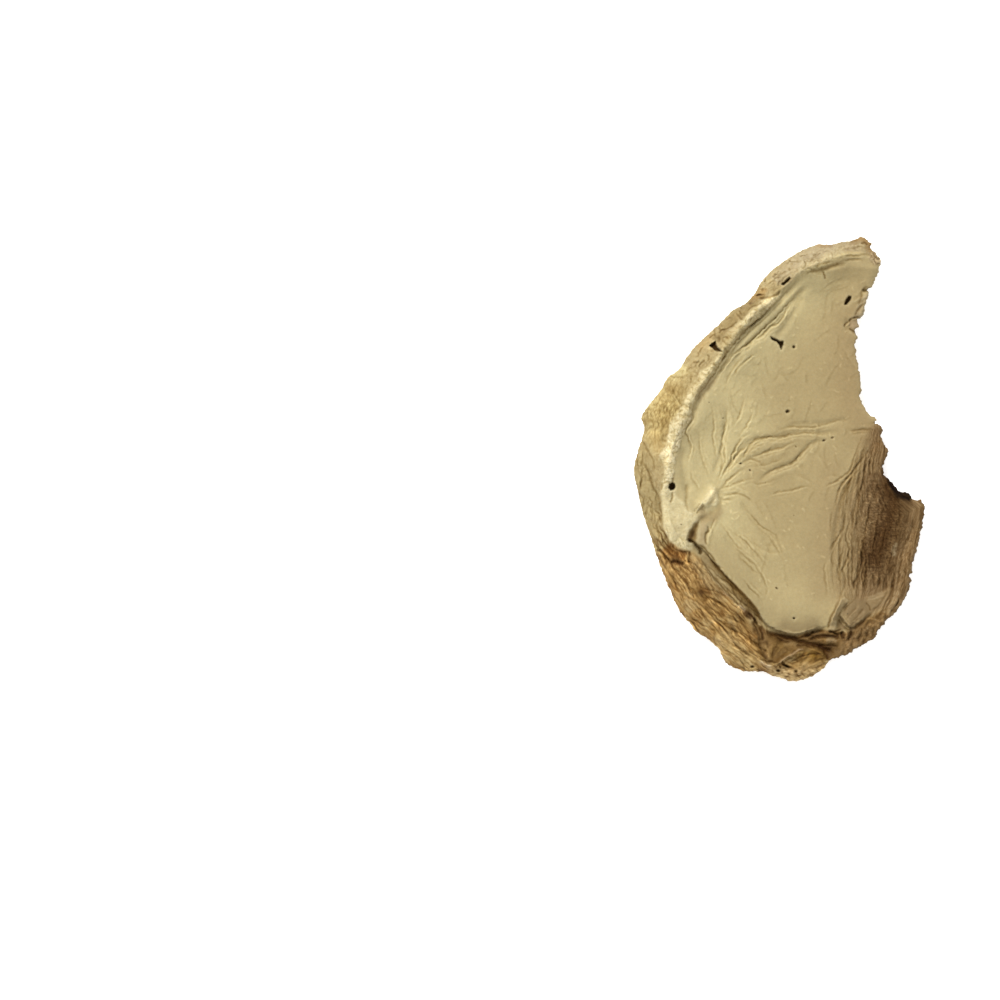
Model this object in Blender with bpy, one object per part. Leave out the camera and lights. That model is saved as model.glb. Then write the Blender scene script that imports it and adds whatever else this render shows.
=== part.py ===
"""A dried button mushroom flake: one slice of a mushroom cap, lying face up on its domed underside.

The slice grew and dried as one piece, so it is one solid. Its upper side is the pale cut face, dished
by drying. The cap's skin is curled up round the left and lower rim, behind a raised crest of flesh. The
right side is torn, and the gills cling to the underside below a finely grooved brown band.

Places are read off in pixels of a straight-down view, which place() turns into millimetres. Heights are
millimetres above the surface that the flake lies on. The mesh itself is made in metres, with +Z up.
"""

import math

import bmesh
import bpy
import numpy as np
from mathutils import Vector, noise
from mathutils.geometry import delaunay_2d_cdt

# Driving dimensions, in millimetres
FLAKE_LENGTH = 49.0
LEAST_THICKNESS = 0.5
TORN_EDGE_THICKNESS = 0.65
SKIN_EDGE_THICKNESS = 0.5
EDGE_ROUNDING = 0.16
SKIN_ROLL_WIDTH = 1.3
SKIN_ROLL_DROP = 0.45
CREST_RISE = 0.5
CREST_HALF_WIDTH = 0.5
FACE_EDGE_DROP = 1.35
FACE_EDGE_RECOVERY = 0.8
PLEAT_EDGE_DROP = 0.55
PLEAT_EDGE_RECOVERY = 0.6
STEP_WIDTH = 0.26
GROOVE_COUNT = 11
GROOVE_DEPTH = 0.24
GROOVE_HALF_WIDTH = 0.2
GILL_COUNT = 30
GILL_HEIGHT = 0.45
GILL_HALF_WIDTH = 0.19
FLAT_SPOT_DEPTH = 0.1

# Spacing of the mesh's points, in millimetres
TOP_SPACING = 0.86
UNDER_SPACING = 1.05
LINE_SPACING = 0.64
EDGE_SPACING = 0.7
GRID_TO_LINE = 0.46
LINE_TO_LINE = 0.2
SHOULDER_SHARE = 1.6

MM = 0.001
TIP_PX = 237.0
FOOT_PX = 681.5
LEFT_PX = 633.5
RIGHT_PX = 924.0
MM_PER_PX = FLAKE_LENGTH / (FOOT_PX - TIP_PX)

# The outline, clockwise from the tip at the top: torn side, lower margin, skin round the foot and the left
TORN_SIDE = [
    (860, 237), (866, 240), (870, 245), (869, 249), (875, 254), (880, 263), (877, 274), (873, 282),
    (871, 289), (865, 290.5), (868, 295), (865, 303), (864, 311), (861, 318), (857, 320), (858, 328),
    (853.5, 331), (857, 337), (854, 347), (856, 358), (859, 374), (861, 387), (859, 396), (862, 406),
    (869, 415), (878, 420.5), (872, 424), (880.5, 425.5), (882, 431), (880, 436), (883, 444),
    (888, 451), (885, 459), (881.5, 468), (884, 477), (889, 479), (894, 487), (900, 492), (909, 493),
    (912, 500), (919.5, 500), (924, 506),
]
MARGIN = [
    (922, 520), (919, 536), (915.5, 551), (911, 565), (911, 573), (908, 575.5), (910, 580), (907.5, 592),
    (901, 605), (892, 615), (885, 620), (884, 624), (878, 630), (873, 639), (860, 646), (845, 655),
    (836, 658), (830, 660),
]
SKIN_SIDE = [
    (824, 668), (812, 676.5), (798, 681), (788, 681.5), (779, 677), (770, 676), (764, 671.5), (748, 672),
    (734, 668), (723, 661), (719, 650), (708, 640), (696, 632), (690, 624), (680, 613), (670, 592),
    (662, 572), (656, 556), (650, 537), (643, 515), (637.5, 493), (634, 474), (634.5, 462), (639, 446),
    (644, 428), (640, 418), (651, 402), (661, 389), (668, 377), (679, 369), (689, 353), (703, 338.5),
    (720, 323), (731, 311), (745, 303.5), (753, 295), (760, 283), (771, 271), (787, 259), (804, 249.5),
    (818, 244.5), (828, 245.5), (841, 242.5), (851, 241),
]

# Broad form, by region: place in pixels, height of the upper surface, height of the underside
FORM = {
    "skin_edge": [
        (640, 425, 1.5, 0.6), (635, 470, 1.5, 0.55), (646, 520, 1.4, 0.5), (662, 570, 1.4, 0.5),
        (680, 612, 1.4, 0.5), (660, 393, 1.6, 0.65), (689, 352, 1.6, 0.7), (728, 313, 1.7, 0.75),
        (765, 276, 1.7, 0.8), (803, 250, 1.9, 0.9), (838, 243, 2.1, 1.1), (860, 238, 2.5, 1.4),
        (700, 636, 1.3, 0.5), (722, 660, 1.3, 0.5), (750, 672, 1.2, 0.5), (788, 682, 1.2, 0.55),
        (815, 675, 1.2, 0.6),
    ],
    "skin_middle": [
        (655, 445, 2.9, 0.5), (650, 490, 2.7, 0.5), (662, 530, 2.6, 0.45), (676, 392, 3.0, 0.6),
        (711, 346, 3.1, 0.65), (748, 308, 3.1, 0.7), (785, 271, 3.0, 0.85), (826, 252, 2.9, 1.1),
        (682, 570, 2.8, 0.4), (698, 605, 2.9, 0.4), (716, 628, 2.7, 0.4), (738, 645, 2.3, 0.4),
        (765, 672, 1.9, 0.5), (790, 672, 1.9, 0.5),
    ],
    "crest": [
        (868, 258, 3.2, 1.6), (840, 259, 3.5, 1.3), (800, 272, 3.7, 1.0), (765, 303, 3.8, 0.8),
        (730, 340, 3.8, 0.7), (700, 385, 3.8, 0.6), (677, 432, 3.8, 0.5), (668, 475, 3.6, 0.45),
        (676, 520, 3.4, 0.4), (690, 545, 3.1, 0.4), (703, 565, 3.2, 0.4), (722, 590, 3.1, 0.35),
        (740, 608, 2.8, 0.35),
    ],
    "face": [
        (694, 440, 2.8, 0.35), (690, 485, 2.9, 0.35), (708, 515, 2.7, 0.25), (722, 380, 2.7, 0.4),
        (755, 335, 2.6, 0.5), (795, 300, 2.4, 0.65), (840, 280, 2.3, 1.0), (735, 430, 2.1, 0.15),
        (770, 380, 1.8, 0.25), (810, 330, 1.8, 0.55), (843, 320, 2.1, 1.0), (800, 400, 1.5, 0.1),
        (840, 395, 1.6, 0.5), (758, 450, 1.6, -0.05), (800, 450, 1.45, -0.05), (752, 500, 1.7, -0.05),
        (795, 500, 1.4, -0.05), (728, 548, 2.3, 0.15), (770, 560, 1.6, 0.1), (805, 560, 1.4, 0.15),
        (752, 592, 2.0, 0.2), (790, 610, 1.7, 0.25), (820, 600, 1.6, 0.3),
    ],
    "torn_side": [
        (877, 264, 2.9, 1.9), (868, 285, 2.6, 1.6), (864, 305, 2.4, 1.5), (856, 335, 2.2, 1.4),
        (857, 370, 2.1, 1.3), (862, 405, 2.0, 1.2), (881, 432, 2.2, 1.4), (887, 452, 2.2, 1.4),
        (883, 472, 2.0, 1.2), (896, 487, 2.0, 1.2), (911, 494, 2.2, 1.4), (922, 506, 2.6, 1.8),
    ],
    "brown_band": [
        (858, 450, 1.6, 0.65), (840, 500, 1.6, 0.4), (836, 560, 1.5, 0.4), (866, 500, 1.45, 0.6),
        (862, 550, 1.4, 0.6), (885, 520, 1.5, 0.65), (882, 560, 1.5, 0.65), (862, 592, 1.7, 0.6),
        (890, 590, 1.9, 0.9), (904, 530, 2.1, 1.1), (904, 570, 2.3, 1.3), (917, 545, 2.4, 1.6),
        (906, 595, 2.1, 1.4),
    ],
    "foot": [
        (742, 625, 1.9, 0.3), (757, 640, 1.6, 0.25), (775, 648, 1.5, 0.35), (795, 643, 1.3, 0.35),
        (815, 645, 1.3, 0.4), (808, 660, 1.7, 0.5), (845, 618, 1.9, 0.45), (872, 612, 1.8, 0.7),
        (840, 640, 1.4, 0.55), (862, 630, 1.5, 0.65), (832, 658, 1.4, 0.7), (858, 646, 1.6, 0.9),
        (882, 624, 1.8, 1.1),
    ],
}

# Where the upper side ends in a ridge or a step
CREST = [
    (876, 263), (862, 257), (846, 257), (832, 259), (820, 265), (809, 268), (798, 273), (785, 286),
    (769, 299), (752, 314), (736, 331), (724, 347), (713, 364), (703, 380), (692, 395), (684, 410),
    (679, 424), (673, 440), (669, 455), (667, 470), (664, 487), (665, 505), (668, 522), (675, 537),
    (688, 545),
]
FACE_EDGE = [
    (688, 536), (697, 544), (704, 550), (714, 561), (726, 575), (738, 589), (749, 601), (758, 611),
    (764, 621), (774, 628), (785, 632), (797, 633), (809, 629), (819, 626), (828, 625),
]
PLEAT_EDGE = [(839, 612), (845, 621), (852, 628), (861, 621), (870, 612)]
GROOVE_LEFT = [(869, 441), (859, 456), (848, 473), (839, 492), (833, 518), (830, 545), (829, 570), (833, 596)]
GROOVE_RIGHT = [(911, 506), (914, 518), (914, 530), (911, 542), (906, 557), (900, 573), (892, 588), (882, 602)]
GILL_INNER = [(852, 448), (845, 475), (841, 505), (841, 535), (844, 560), (846, 582), (840, 602), (828, 618)]
GILL_OUTER = [(876, 446), (879, 470), (894, 492), (906, 512), (908, 538), (902, 566), (888, 595), (862, 620)]

# Grooves and ridges of the upper side: line, rise in millimetres (a groove's is negative), half width
RELIEF_LINES = {
    "channel": ([(806, 274), (793, 286), (781, 298), (766, 312), (751, 327), (739, 340), (729, 353),
                 (719, 368), (710, 382), (700, 396), (693, 408), (691, 420), (687, 434)], -0.6, 0.36),
    "second_fold": ([(809, 284), (798, 296), (786, 309), (772, 324), (758, 337), (744, 350), (732, 364),
                     (722, 378)], -0.36, 0.3),
    "third_fold": ([(804, 296), (794, 311), (785, 325), (774, 339)], -0.22, 0.28),
    "left_furrow": ([(684, 448), (682, 462), (684, 478), (688, 494)], -0.3, 0.4),
    "hollow_by_knob": ([(690, 541), (693, 531), (700, 522), (706, 514)], -0.4, 0.34),
    "flesh_knob": ([(694, 508), (702, 501), (710, 493), (716, 485)], 0.55, 0.4),
    "upper_crease": ([(721, 478), (730, 465), (737, 453), (746, 444), (758, 438), (775, 437), (790, 434),
                      (803, 432), (822, 433), (842, 431)], -0.26, 0.24),
    "top_crease": ([(784, 428), (793, 425), (804, 424), (820, 424), (836, 421), (850, 420)], -0.18, 0.22),
    "lower_crease": ([(757, 483), (767, 475), (779, 468), (790, 464), (798, 458), (805, 449), (815, 442),
                      (827, 440)], -0.26, 0.24),
    "middle_crease": ([(741, 466), (751, 459), (763, 455), (773, 449), (787, 445)], -0.18, 0.24),
    "left_crease": ([(726, 412), (724, 428), (722, 445), (718, 462), (712, 474)], -0.26, 0.24),
    "low_crease": ([(739, 502), (749, 514), (758, 527), (766, 541), (772, 556)], -0.16, 0.26),
    "foot_crease": ([(722, 536), (735, 550), (747, 564), (757, 579)], -0.16, 0.26),
    "foot_ridge": ([(745, 642), (752, 650), (759, 659), (768, 666), (777, 663), (789, 655), (803, 650)],
                   0.75, 0.3),
    "left_pucker": ([(757, 640), (763, 649), (767, 657)], -0.3, 0.26),
    "right_pucker": ([(784, 642), (778, 650), (772, 657)], -0.3, 0.26),
    "foot_valley": ([(775, 640), (790, 641), (806, 643), (820, 647), (834, 652)], -0.5, 0.5),
    "foot_hollow": ([(778, 671), (789, 667), (800, 661), (812, 656)], -0.35, 0.36),
    "pleat": ([(842, 596), (836, 606), (832, 616), (830, 627)], 0.55, 0.32),
    "pleat_shadow": ([(848, 602), (843, 609), (839, 618), (840, 630)], -0.45, 0.28),
    "margin_rim": ([(918, 508), (917, 524), (914, 538), (910, 552), (906, 566), (905, 580), (900, 592),
                    (892, 603), (881, 612)], 0.25, 0.4),
    "margin_fold": ([(882, 622), (872, 630), (861, 637), (848, 643)], -0.25, 0.3),
    "skin_fold_1": ([(659, 536), (669, 548), (681, 558), (692, 573), (702, 590), (715, 604), (730, 616),
                     (745, 630), (756, 645)], -0.4, 0.24),
    "skin_fold_2": ([(662, 553), (672, 565), (683, 578), (693, 592), (706, 608), (721, 622), (736, 636),
                     (748, 651)], -0.4, 0.24),
    "skin_fold_3": ([(669, 574), (679, 588), (690, 602), (702, 617), (716, 631), (729, 643),
                     (741, 658)], -0.4, 0.24),
    "skin_fold_4": ([(677, 598), (687, 611), (699, 624), (712, 636), (724, 649), (735, 662)], -0.36, 0.24),
    "skin_fold_5": ([(704, 634), (715, 646), (724, 656)], -0.3, 0.24),
    "wall_fold": ([(702, 560), (711, 573), (722, 586), (735, 600), (745, 611)], -0.25, 0.24),
    "left_fold": ([(644, 442), (646, 458), (650, 474), (654, 490), (658, 507), (662, 523)], -0.35, 0.28),
    "corner_fold": ([(653, 405), (662, 415), (666, 430), (662, 446)], -0.3, 0.3),
    "rim_crevice": ([(755, 297), (764, 298), (773, 294), (780, 286), (788, 277)], -0.45, 0.26),
    "torn_layer": ([(848, 318), (845, 326), (850, 332)], -0.3, 0.26),
}


def place(points):
    """Pixels of the straight-down view as millimetres from the middle of the flake's outline."""
    points = np.asarray(points, float).reshape(-1, 2)
    middle = np.array([(LEFT_PX + RIGHT_PX) / 2, (TIP_PX + FOOT_PX) / 2])
    return (points - middle) * [MM_PER_PX, -MM_PER_PX]


def smooth_curve(points):
    """A Catmull-Rom curve through the points, 8 steps to a span."""
    points = np.asarray(points, float)
    padded = points[np.clip(np.arange(-1, len(points) + 1), 0, len(points) - 1)]
    steps = np.linspace(0, 1, 8, endpoint=False)[:, None]
    spans = []
    for a, b, c, d in zip(padded[:-3], padded[1:-2], padded[2:-1], padded[3:]):
        bend = (2 * a - 5 * b + 4 * c - d) * steps**2 + (3 * b - a - 3 * c + d) * steps**3
        spans.append(0.5 * (2 * b + (c - a) * steps + bend))
    return np.vstack(spans + [points[-1:]])


def resample(line, spacing):
    """The line's points at even steps close to the spacing, both ends kept."""
    steps = np.linalg.norm(np.diff(line, axis=0), axis=1)
    run = np.concatenate([[0], np.cumsum(steps)])
    count = max(2, round(run[-1] / spacing) + 1)
    even = np.linspace(0, run[-1], count)
    return np.column_stack([np.interp(even, run, line[:, k]) for k in (0, 1)])


def curve(points):
    """A named line of pixels as an even smooth curve in millimetres."""
    return resample(smooth_curve(place(points)), LINE_SPACING)


def straight_runs(points, spacing):
    """The corners of a torn edge, with points added only where a side is long."""
    made = []
    for start, end in zip(points[:-1], points[1:]):
        pieces = max(1, round(np.linalg.norm(end - start) / spacing))
        made.extend(start + (end - start) * k / pieces for k in range(pieces))
    return np.array(made)


def moved_left(line, distance):
    """The line moved sideways: to its left where the distance is positive."""
    tangent = np.gradient(line, axis=0)
    tangent /= np.linalg.norm(tangent, axis=1)[:, None]
    return line + np.column_stack([-tangent[:, 1], tangent[:, 0]]) * distance


def nearest(points, line):
    """Distance from each point to the line, which side it is on, and how far along the line it is."""
    best = np.full(len(points), np.inf)
    side = np.zeros(len(points))
    along = np.zeros(len(points))
    spans = np.diff(line, axis=0)
    lengths = np.linalg.norm(spans, axis=1)
    run = np.concatenate([[0], np.cumsum(lengths)])
    for i, (start, span, length) in enumerate(zip(line[:-1], spans, lengths)):
        offset = points - start
        share = np.clip(offset @ span / length**2, 0, 1)
        distance = np.linalg.norm(offset - share[:, None] * span, axis=1)
        nearer = distance < best
        best[nearer] = distance[nearer]
        side[nearer] = np.sign(span[0] * offset[:, 1] - span[1] * offset[:, 0])[nearer]
        along[nearer] = ((run[i] + share * length) / run[-1])[nearer]
    return best, side, along


def bell(distance, half_width):
    return np.exp(-((distance / half_width) ** 2))


def faded(along, ends=0.12):
    """1 along a line, falling smoothly to 0 at both of its ends."""
    share = np.clip(np.minimum(along, 1 - along) / ends, 0, 1)
    return share * share * (3 - 2 * share)


def lumps(points, size, seed):
    """Smooth noise from -1 to 1, with lumps of about the given size in millimetres."""
    return np.array([noise.noise(Vector((x / size, y / size, seed))) for x, y in points])


def form_surface(column):
    """The thin plate bent through FORM's heights in that column, as a function of points."""
    rows = np.array([row for region in FORM.values() for row in region], float)
    spots = place(rows[:, :2])
    count = len(rows)

    def kernel(distance):
        return distance**2 * np.log(np.maximum(distance, 1e-9))

    def flat_terms(points):
        return np.column_stack([np.ones(len(points)), points])

    gaps = np.linalg.norm(spots[:, None] - spots[None], axis=2)
    system = np.zeros((count + 3, count + 3))
    system[:count, :count] = kernel(gaps)
    system[:count, count:] = flat_terms(spots)
    system[count:, :count] = flat_terms(spots).T
    weights = np.linalg.solve(system, np.concatenate([rows[:, column], np.zeros(3)]))

    def height(points):
        gaps = np.linalg.norm(points[:, None] - spots[None], axis=2)
        return kernel(gaps) @ weights[:count] + flat_terms(points) @ weights[count:]

    return height


def lines_between(first, last, shares):
    """Lines that run like two guides, at the given shares of the way from one to the other."""
    first = curve(first)
    last_curve = smooth_curve(place(last))
    length = np.linalg.norm(np.diff(last_curve, axis=0), axis=1).sum()
    last = resample(last_curve, length / (len(first) - 1))
    return [first * (1 - share) + last * share for share in shares]


def gill_lines(shares):
    """Straight lines from the flesh out towards the margin, at the given shares of the gills' crescent."""
    inner = smooth_curve(place(GILL_INNER))
    outer = smooth_curve(place(GILL_OUTER))
    lines = []
    for share in shares:
        start = inner[round(share * (len(inner) - 1))]
        end = outer[round(share * (len(outer) - 1))]
        lines.append(resample(np.array([start, end]), LINE_SPACING))
    return lines


def outline():
    """The closed outline in millimetres, and which of its points are on skin and not torn."""
    torn = straight_runs(place(TORN_SIDE + MARGIN + SKIN_SIDE[:1]), EDGE_SPACING)
    skin = resample(smooth_curve(place(SKIN_SIDE + TORN_SIDE[:1])), EDGE_SPACING)[:-1]
    return np.vstack([torn, skin]), np.arange(len(torn) + len(skin)) >= len(torn)


OUTLINE, IS_SKIN = outline()
SKIN_LINE = OUTLINE[IS_SKIN]
CREST_LINE = curve(CREST)
FACE_EDGE_LINE = curve(FACE_EDGE)
PLEAT_EDGE_LINE = curve(PLEAT_EDGE)
RELIEF = [(curve(line), rise, half_width) for line, rise, half_width in RELIEF_LINES.values()]
GROOVES = lines_between(GROOVE_LEFT, GROOVE_RIGHT, (np.arange(GROOVE_COUNT) + 0.5) / GROOVE_COUNT)
GROOVE_BACKS = lines_between(GROOVE_LEFT, GROOVE_RIGHT, np.arange(GROOVE_COUNT + 1) / GROOVE_COUNT)
GILLS = gill_lines((np.arange(GILL_COUNT) + 0.5) / GILL_COUNT)
GILL_VALLEYS = gill_lines(np.arange(GILL_COUNT + 1) / GILL_COUNT)
TOP_FORM = form_surface(2)
UNDER_FORM = form_surface(3)


def skin_roll(points):
    """How far the skin has rolled over towards the silhouette: 0 inland, 1 at the skin's outline."""
    distance, _, along = nearest(points, SKIN_LINE)
    share = np.clip(1 - distance / SKIN_ROLL_WIDTH, 0, 1)
    return (1 - np.sqrt(1 - share**2)) * faded(along, 0.03)


def step_down(points, line, drop, recovery):
    """A plate that ends at the line: a steep drop on the line's right, which rises again further out."""
    distance, side, along = nearest(points, line)
    beyond = np.clip(distance / STEP_WIDTH, 0, 1) * np.exp(-distance / recovery)
    return np.where(side < 0, -drop * beyond, 0) * faded(along, 0.08)


def top_height(points):
    height = TOP_FORM(points)
    distance, _, along = nearest(points, CREST_LINE)
    knobbly = 1 + 0.6 * lumps(points, 1.5, 3.0)
    height += CREST_RISE * knobbly * bell(distance, CREST_HALF_WIDTH) * faded(along, 0.06)
    for line, rise, half_width in RELIEF:
        distance, _, along = nearest(points, line)
        height += rise * bell(distance, half_width) * faded(along)
    for line in GROOVES:
        distance, _, along = nearest(points, line)
        height -= GROOVE_DEPTH * bell(distance, GROOVE_HALF_WIDTH) * faded(along)
    height += step_down(points, FACE_EDGE_LINE, FACE_EDGE_DROP, FACE_EDGE_RECOVERY)
    height += step_down(points, PLEAT_EDGE_LINE, PLEAT_EDGE_DROP, PLEAT_EDGE_RECOVERY)
    height -= SKIN_ROLL_DROP * skin_roll(points)
    return height + 0.06 * lumps(points, 2.4, 7.0)


def under_height(points):
    height = UNDER_FORM(points) + 0.08 * lumps(points, 3.2, 11.0)
    for line in GILLS:
        distance, _, along = nearest(points, line)
        height -= GILL_HEIGHT * bell(distance, GILL_HALF_WIDTH) * faded(along)
    height += 0.5 * SKIN_ROLL_DROP * skin_roll(points) - FLAT_SPOT_DEPTH
    return np.maximum(height, 0.0)


def inside(points, polygon):
    """Which points lie inside the closed polygon."""
    x, y = points.T
    found = np.zeros(len(points), bool)
    for (x0, y0), (x1, y1) in zip(polygon, np.roll(polygon, -1, axis=0)):
        if y0 != y1:
            crosses = (y0 > y) != (y1 > y)
            found ^= crosses & (x < (x1 - x0) * (y - y0) / (y1 - y0) + x0)
    return found


def inward(polygon, distance):
    """The clockwise polygon's points moved inward by that distance."""
    before = polygon - np.roll(polygon, 1, axis=0)
    after = np.roll(polygon, -1, axis=0) - polygon
    tangent = before / np.linalg.norm(before, axis=1)[:, None] + after / np.linalg.norm(after, axis=1)[:, None]
    tangent /= np.linalg.norm(tangent, axis=1)[:, None]
    return polygon + np.column_stack([tangent[:, 1], -tangent[:, 0]]) * distance


def closed(loop):
    return np.vstack([loop, loop[:1]])


def thinned(lines, loop):
    """The lines, cut where they leave the loop or come close to it or to a line before them."""
    kept = [closed(loop)]
    for line in lines:
        gap = np.min([nearest(line, other)[0] for other in kept], axis=0)
        clear = inside(line, loop) & (gap > LINE_TO_LINE)
        for run in np.split(np.arange(len(line)), np.flatnonzero(np.diff(clear.astype(int))) + 1):
            if clear[run[0]] and len(run) > 1:
                kept.append(line[run])
    return kept[1:]


def triangulate(loop, lines, spacing):
    """Fills the loop with triangles whose sides follow the lines, with even points in between."""
    lines = thinned(lines, loop)
    low, high = loop.min(axis=0), loop.max(axis=0)
    rows = np.arange(low[1], high[1], spacing * math.sqrt(3) / 2)
    columns = np.arange(low[0], high[0], spacing)
    grid = np.array([(x + spacing / 2 * (i % 2), y) for i, y in enumerate(rows) for x in columns])
    grid = grid[inside(grid, loop)]
    for line in [closed(loop)] + lines:
        grid = grid[nearest(grid, line)[0] > GRID_TO_LINE]
    points = [Vector(p) for p in loop]
    sides = [(i, (i + 1) % len(loop)) for i in range(len(loop))]
    for line in lines:
        first = len(points)
        points.extend(Vector(p) for p in line)
        sides.extend((first + i, first + i + 1) for i in range(len(line) - 1))
    points.extend(Vector(p) for p in grid)
    made, _, faces, _, _, _ = delaunay_2d_cdt(points, sides, [], 0, 1e-4)
    made = np.array([tuple(p) for p in made])
    middles = np.array([made[list(face)].mean(axis=0) for face in faces])
    return made, [tuple(face) for face, wanted in zip(faces, inside(middles, loop)) if wanted]


def top_lines():
    """The lines that the upper side's triangles follow, the most telling ones first."""
    lines = [CREST_LINE, FACE_EDGE_LINE, moved_left(FACE_EDGE_LINE, -STEP_WIDTH)]
    lines += [PLEAT_EDGE_LINE, moved_left(PLEAT_EDGE_LINE, -STEP_WIDTH)]
    lines += [line for line, _, _ in RELIEF] + GROOVES + GROOVE_BACKS
    for line, _, half_width in [(CREST_LINE, 0, CREST_HALF_WIDTH)] + RELIEF:
        lines += [moved_left(line, side * SHOULDER_SHARE * half_width) for side in (1, -1)]
    return lines


def flake_mesh():
    """The closed surface in millimetres: upper side, rounded edge and underside."""
    rim = inward(OUTLINE, EDGE_ROUNDING)
    top_points, top_faces = triangulate(rim, top_lines(), TOP_SPACING)
    under_points, under_faces = triangulate(rim, GILLS + GILL_VALLEYS, UNDER_SPACING)
    under = under_height(under_points)
    top = np.maximum(top_height(top_points), under_height(top_points) + LEAST_THICKNESS)
    count = len(rim)
    middle = (top[:count] + under[:count]) / 2
    half = np.where(IS_SKIN, SKIN_EDGE_THICKNESS, TORN_EDGE_THICKNESS) / 2
    top[:count] = middle + half
    under[:count] = np.maximum(middle - half, 0.0)
    vertices = np.vstack([
        np.column_stack([top_points, top]),
        np.column_stack([OUTLINE, middle]),
        np.column_stack([under_points, under]),
    ])
    first_middle = len(top_points)
    first_under = first_middle + count
    faces = top_faces + [tuple(first_under + i for i in reversed(face)) for face in under_faces]
    for i in range(count):
        j = (i + 1) % count
        faces.append((i, j, first_middle + j, first_middle + i))
        faces.append((first_middle + i, first_middle + j, first_under + j, first_under + i))
    return vertices, faces


def dried_flesh():
    material = bpy.data.materials.new("dried_flesh")
    material.use_nodes = True
    material.diffuse_color = (0.46, 0.36, 0.18, 1.0)
    shader = material.node_tree.nodes["Principled BSDF"]
    shader.inputs["Base Color"].default_value = material.diffuse_color
    shader.inputs["Roughness"].default_value = 0.72
    shader.inputs["Metallic"].default_value = 0.0
    return material


def build():
    for obj in list(bpy.data.objects):
        bpy.data.objects.remove(obj, do_unlink=True)
    vertices, faces = flake_mesh()
    low, high = vertices.min(axis=0), vertices.max(axis=0)
    vertices = vertices - [(low[0] + high[0]) / 2, (low[1] + high[1]) / 2, low[2]]
    mesh = bpy.data.meshes.new("mushroom_flake")
    mesh.from_pydata([tuple(v * MM) for v in vertices], [], faces)
    shape = bmesh.new()
    shape.from_mesh(mesh)
    bmesh.ops.triangulate(shape, faces=shape.faces)
    bmesh.ops.recalc_face_normals(shape, faces=shape.faces)
    shape.to_mesh(mesh)
    shape.free()
    mesh.shade_smooth()
    mesh.set_sharp_from_angle(angle=math.radians(35))
    flake = bpy.data.objects.new("mushroom_flake", mesh)
    flake.data.materials.append(dried_flesh())
    bpy.context.scene.collection.objects.link(flake)


build()
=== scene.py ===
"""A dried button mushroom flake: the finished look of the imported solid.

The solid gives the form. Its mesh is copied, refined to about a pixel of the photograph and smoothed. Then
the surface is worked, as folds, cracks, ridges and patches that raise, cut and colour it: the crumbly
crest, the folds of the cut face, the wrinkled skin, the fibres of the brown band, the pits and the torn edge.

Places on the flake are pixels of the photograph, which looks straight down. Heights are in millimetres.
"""

import math

import bmesh
import bpy
import numpy as np
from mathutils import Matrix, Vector
from mathutils.bvhtree import BVHTree


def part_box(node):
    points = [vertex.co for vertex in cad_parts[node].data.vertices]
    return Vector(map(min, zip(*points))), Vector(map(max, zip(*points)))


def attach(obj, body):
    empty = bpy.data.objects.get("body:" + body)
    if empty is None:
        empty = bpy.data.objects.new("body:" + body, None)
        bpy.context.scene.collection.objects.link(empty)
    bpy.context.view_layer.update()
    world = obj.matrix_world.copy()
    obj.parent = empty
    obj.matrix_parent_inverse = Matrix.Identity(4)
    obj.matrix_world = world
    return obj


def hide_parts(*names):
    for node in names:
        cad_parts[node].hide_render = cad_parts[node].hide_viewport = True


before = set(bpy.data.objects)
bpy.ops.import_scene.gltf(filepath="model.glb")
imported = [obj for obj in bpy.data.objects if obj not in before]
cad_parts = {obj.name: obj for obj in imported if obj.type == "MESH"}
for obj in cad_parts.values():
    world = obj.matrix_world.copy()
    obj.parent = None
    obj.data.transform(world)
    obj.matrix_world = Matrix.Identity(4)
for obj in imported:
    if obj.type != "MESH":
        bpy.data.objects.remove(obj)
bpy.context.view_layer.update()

# The flake's limits in the photograph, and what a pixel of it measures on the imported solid
NODE = "mushroom_flake"
TIP, FOOT, LEFT, RIGHT = 237.0, 681.5, 633.5, 924.0
PICTURE_SIZE = 1000
LOW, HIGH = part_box(NODE)
PX = (HIGH.y - LOW.y) / (FOOT - TIP)
MM = 0.001
SAME_PLACE = 1e-6
MIDDLE = np.array([(LEFT + RIGHT) / 2, (TIP + FOOT) / 2])

# The fine mesh: its spacing in mm, its triangles while it is worked and at the end, and its smoothing
FINE_SPACING = 0.108
WORKED_TRIANGLES = 340_000
MOST_TRIANGLES = 196_000
SMOOTHING_ROUNDS = 16

# Cuts deeper than DEEP_CUT, in mm, go through at most CUT_SHARE of the flesh, and never below DEEPEST_CUT
DEEP_CUT = 0.2
CUT_SHARE = 0.6
DEEPEST_CUT = 2.0

# How much of the underside's relief is used, so that the flake still lies flat
UNDER_SHARE = 0.5

# The torn edge: how far in it is ragged and by how much, in pixels
TORN_WIDTH = 5
RAGGED = 2.2

# Height in mm above which the crest's lumps level off, and how much higher they can ever reach
LEVEL_OFF = 4.33
HEADROOM = 0.25

# Hollows are found by smoothing the heights, and are darkened as painted shade, in full where they are this
# deep in mm
DENT_ROUNDS = 8
FULL_DENT = 0.06
DENT_SHADE = 0.28
DARKEST = 0.002

# The camera and the light. The exposure is how bright a white surface lies in this light
LENS_MM = 180.0
SENSOR_MM = 36.0
EXPOSURE = 1.8
LAMP_PLACE = (-0.36, 0.5, 0.6)
FLOOR_HALF = 1.2

# How a darkened place shifts its colour: blue goes first
WARMTH = np.array([0.85, 1.05, 1.45])

# Steps to a span of a curve, and how many cells the noise takes to repeat
CURVE_STEPS = 5
NOISE_PERIOD = 256

# How far from a fold's groove its lip is highest, in pixels
LIP_AT = 2.2


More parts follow.
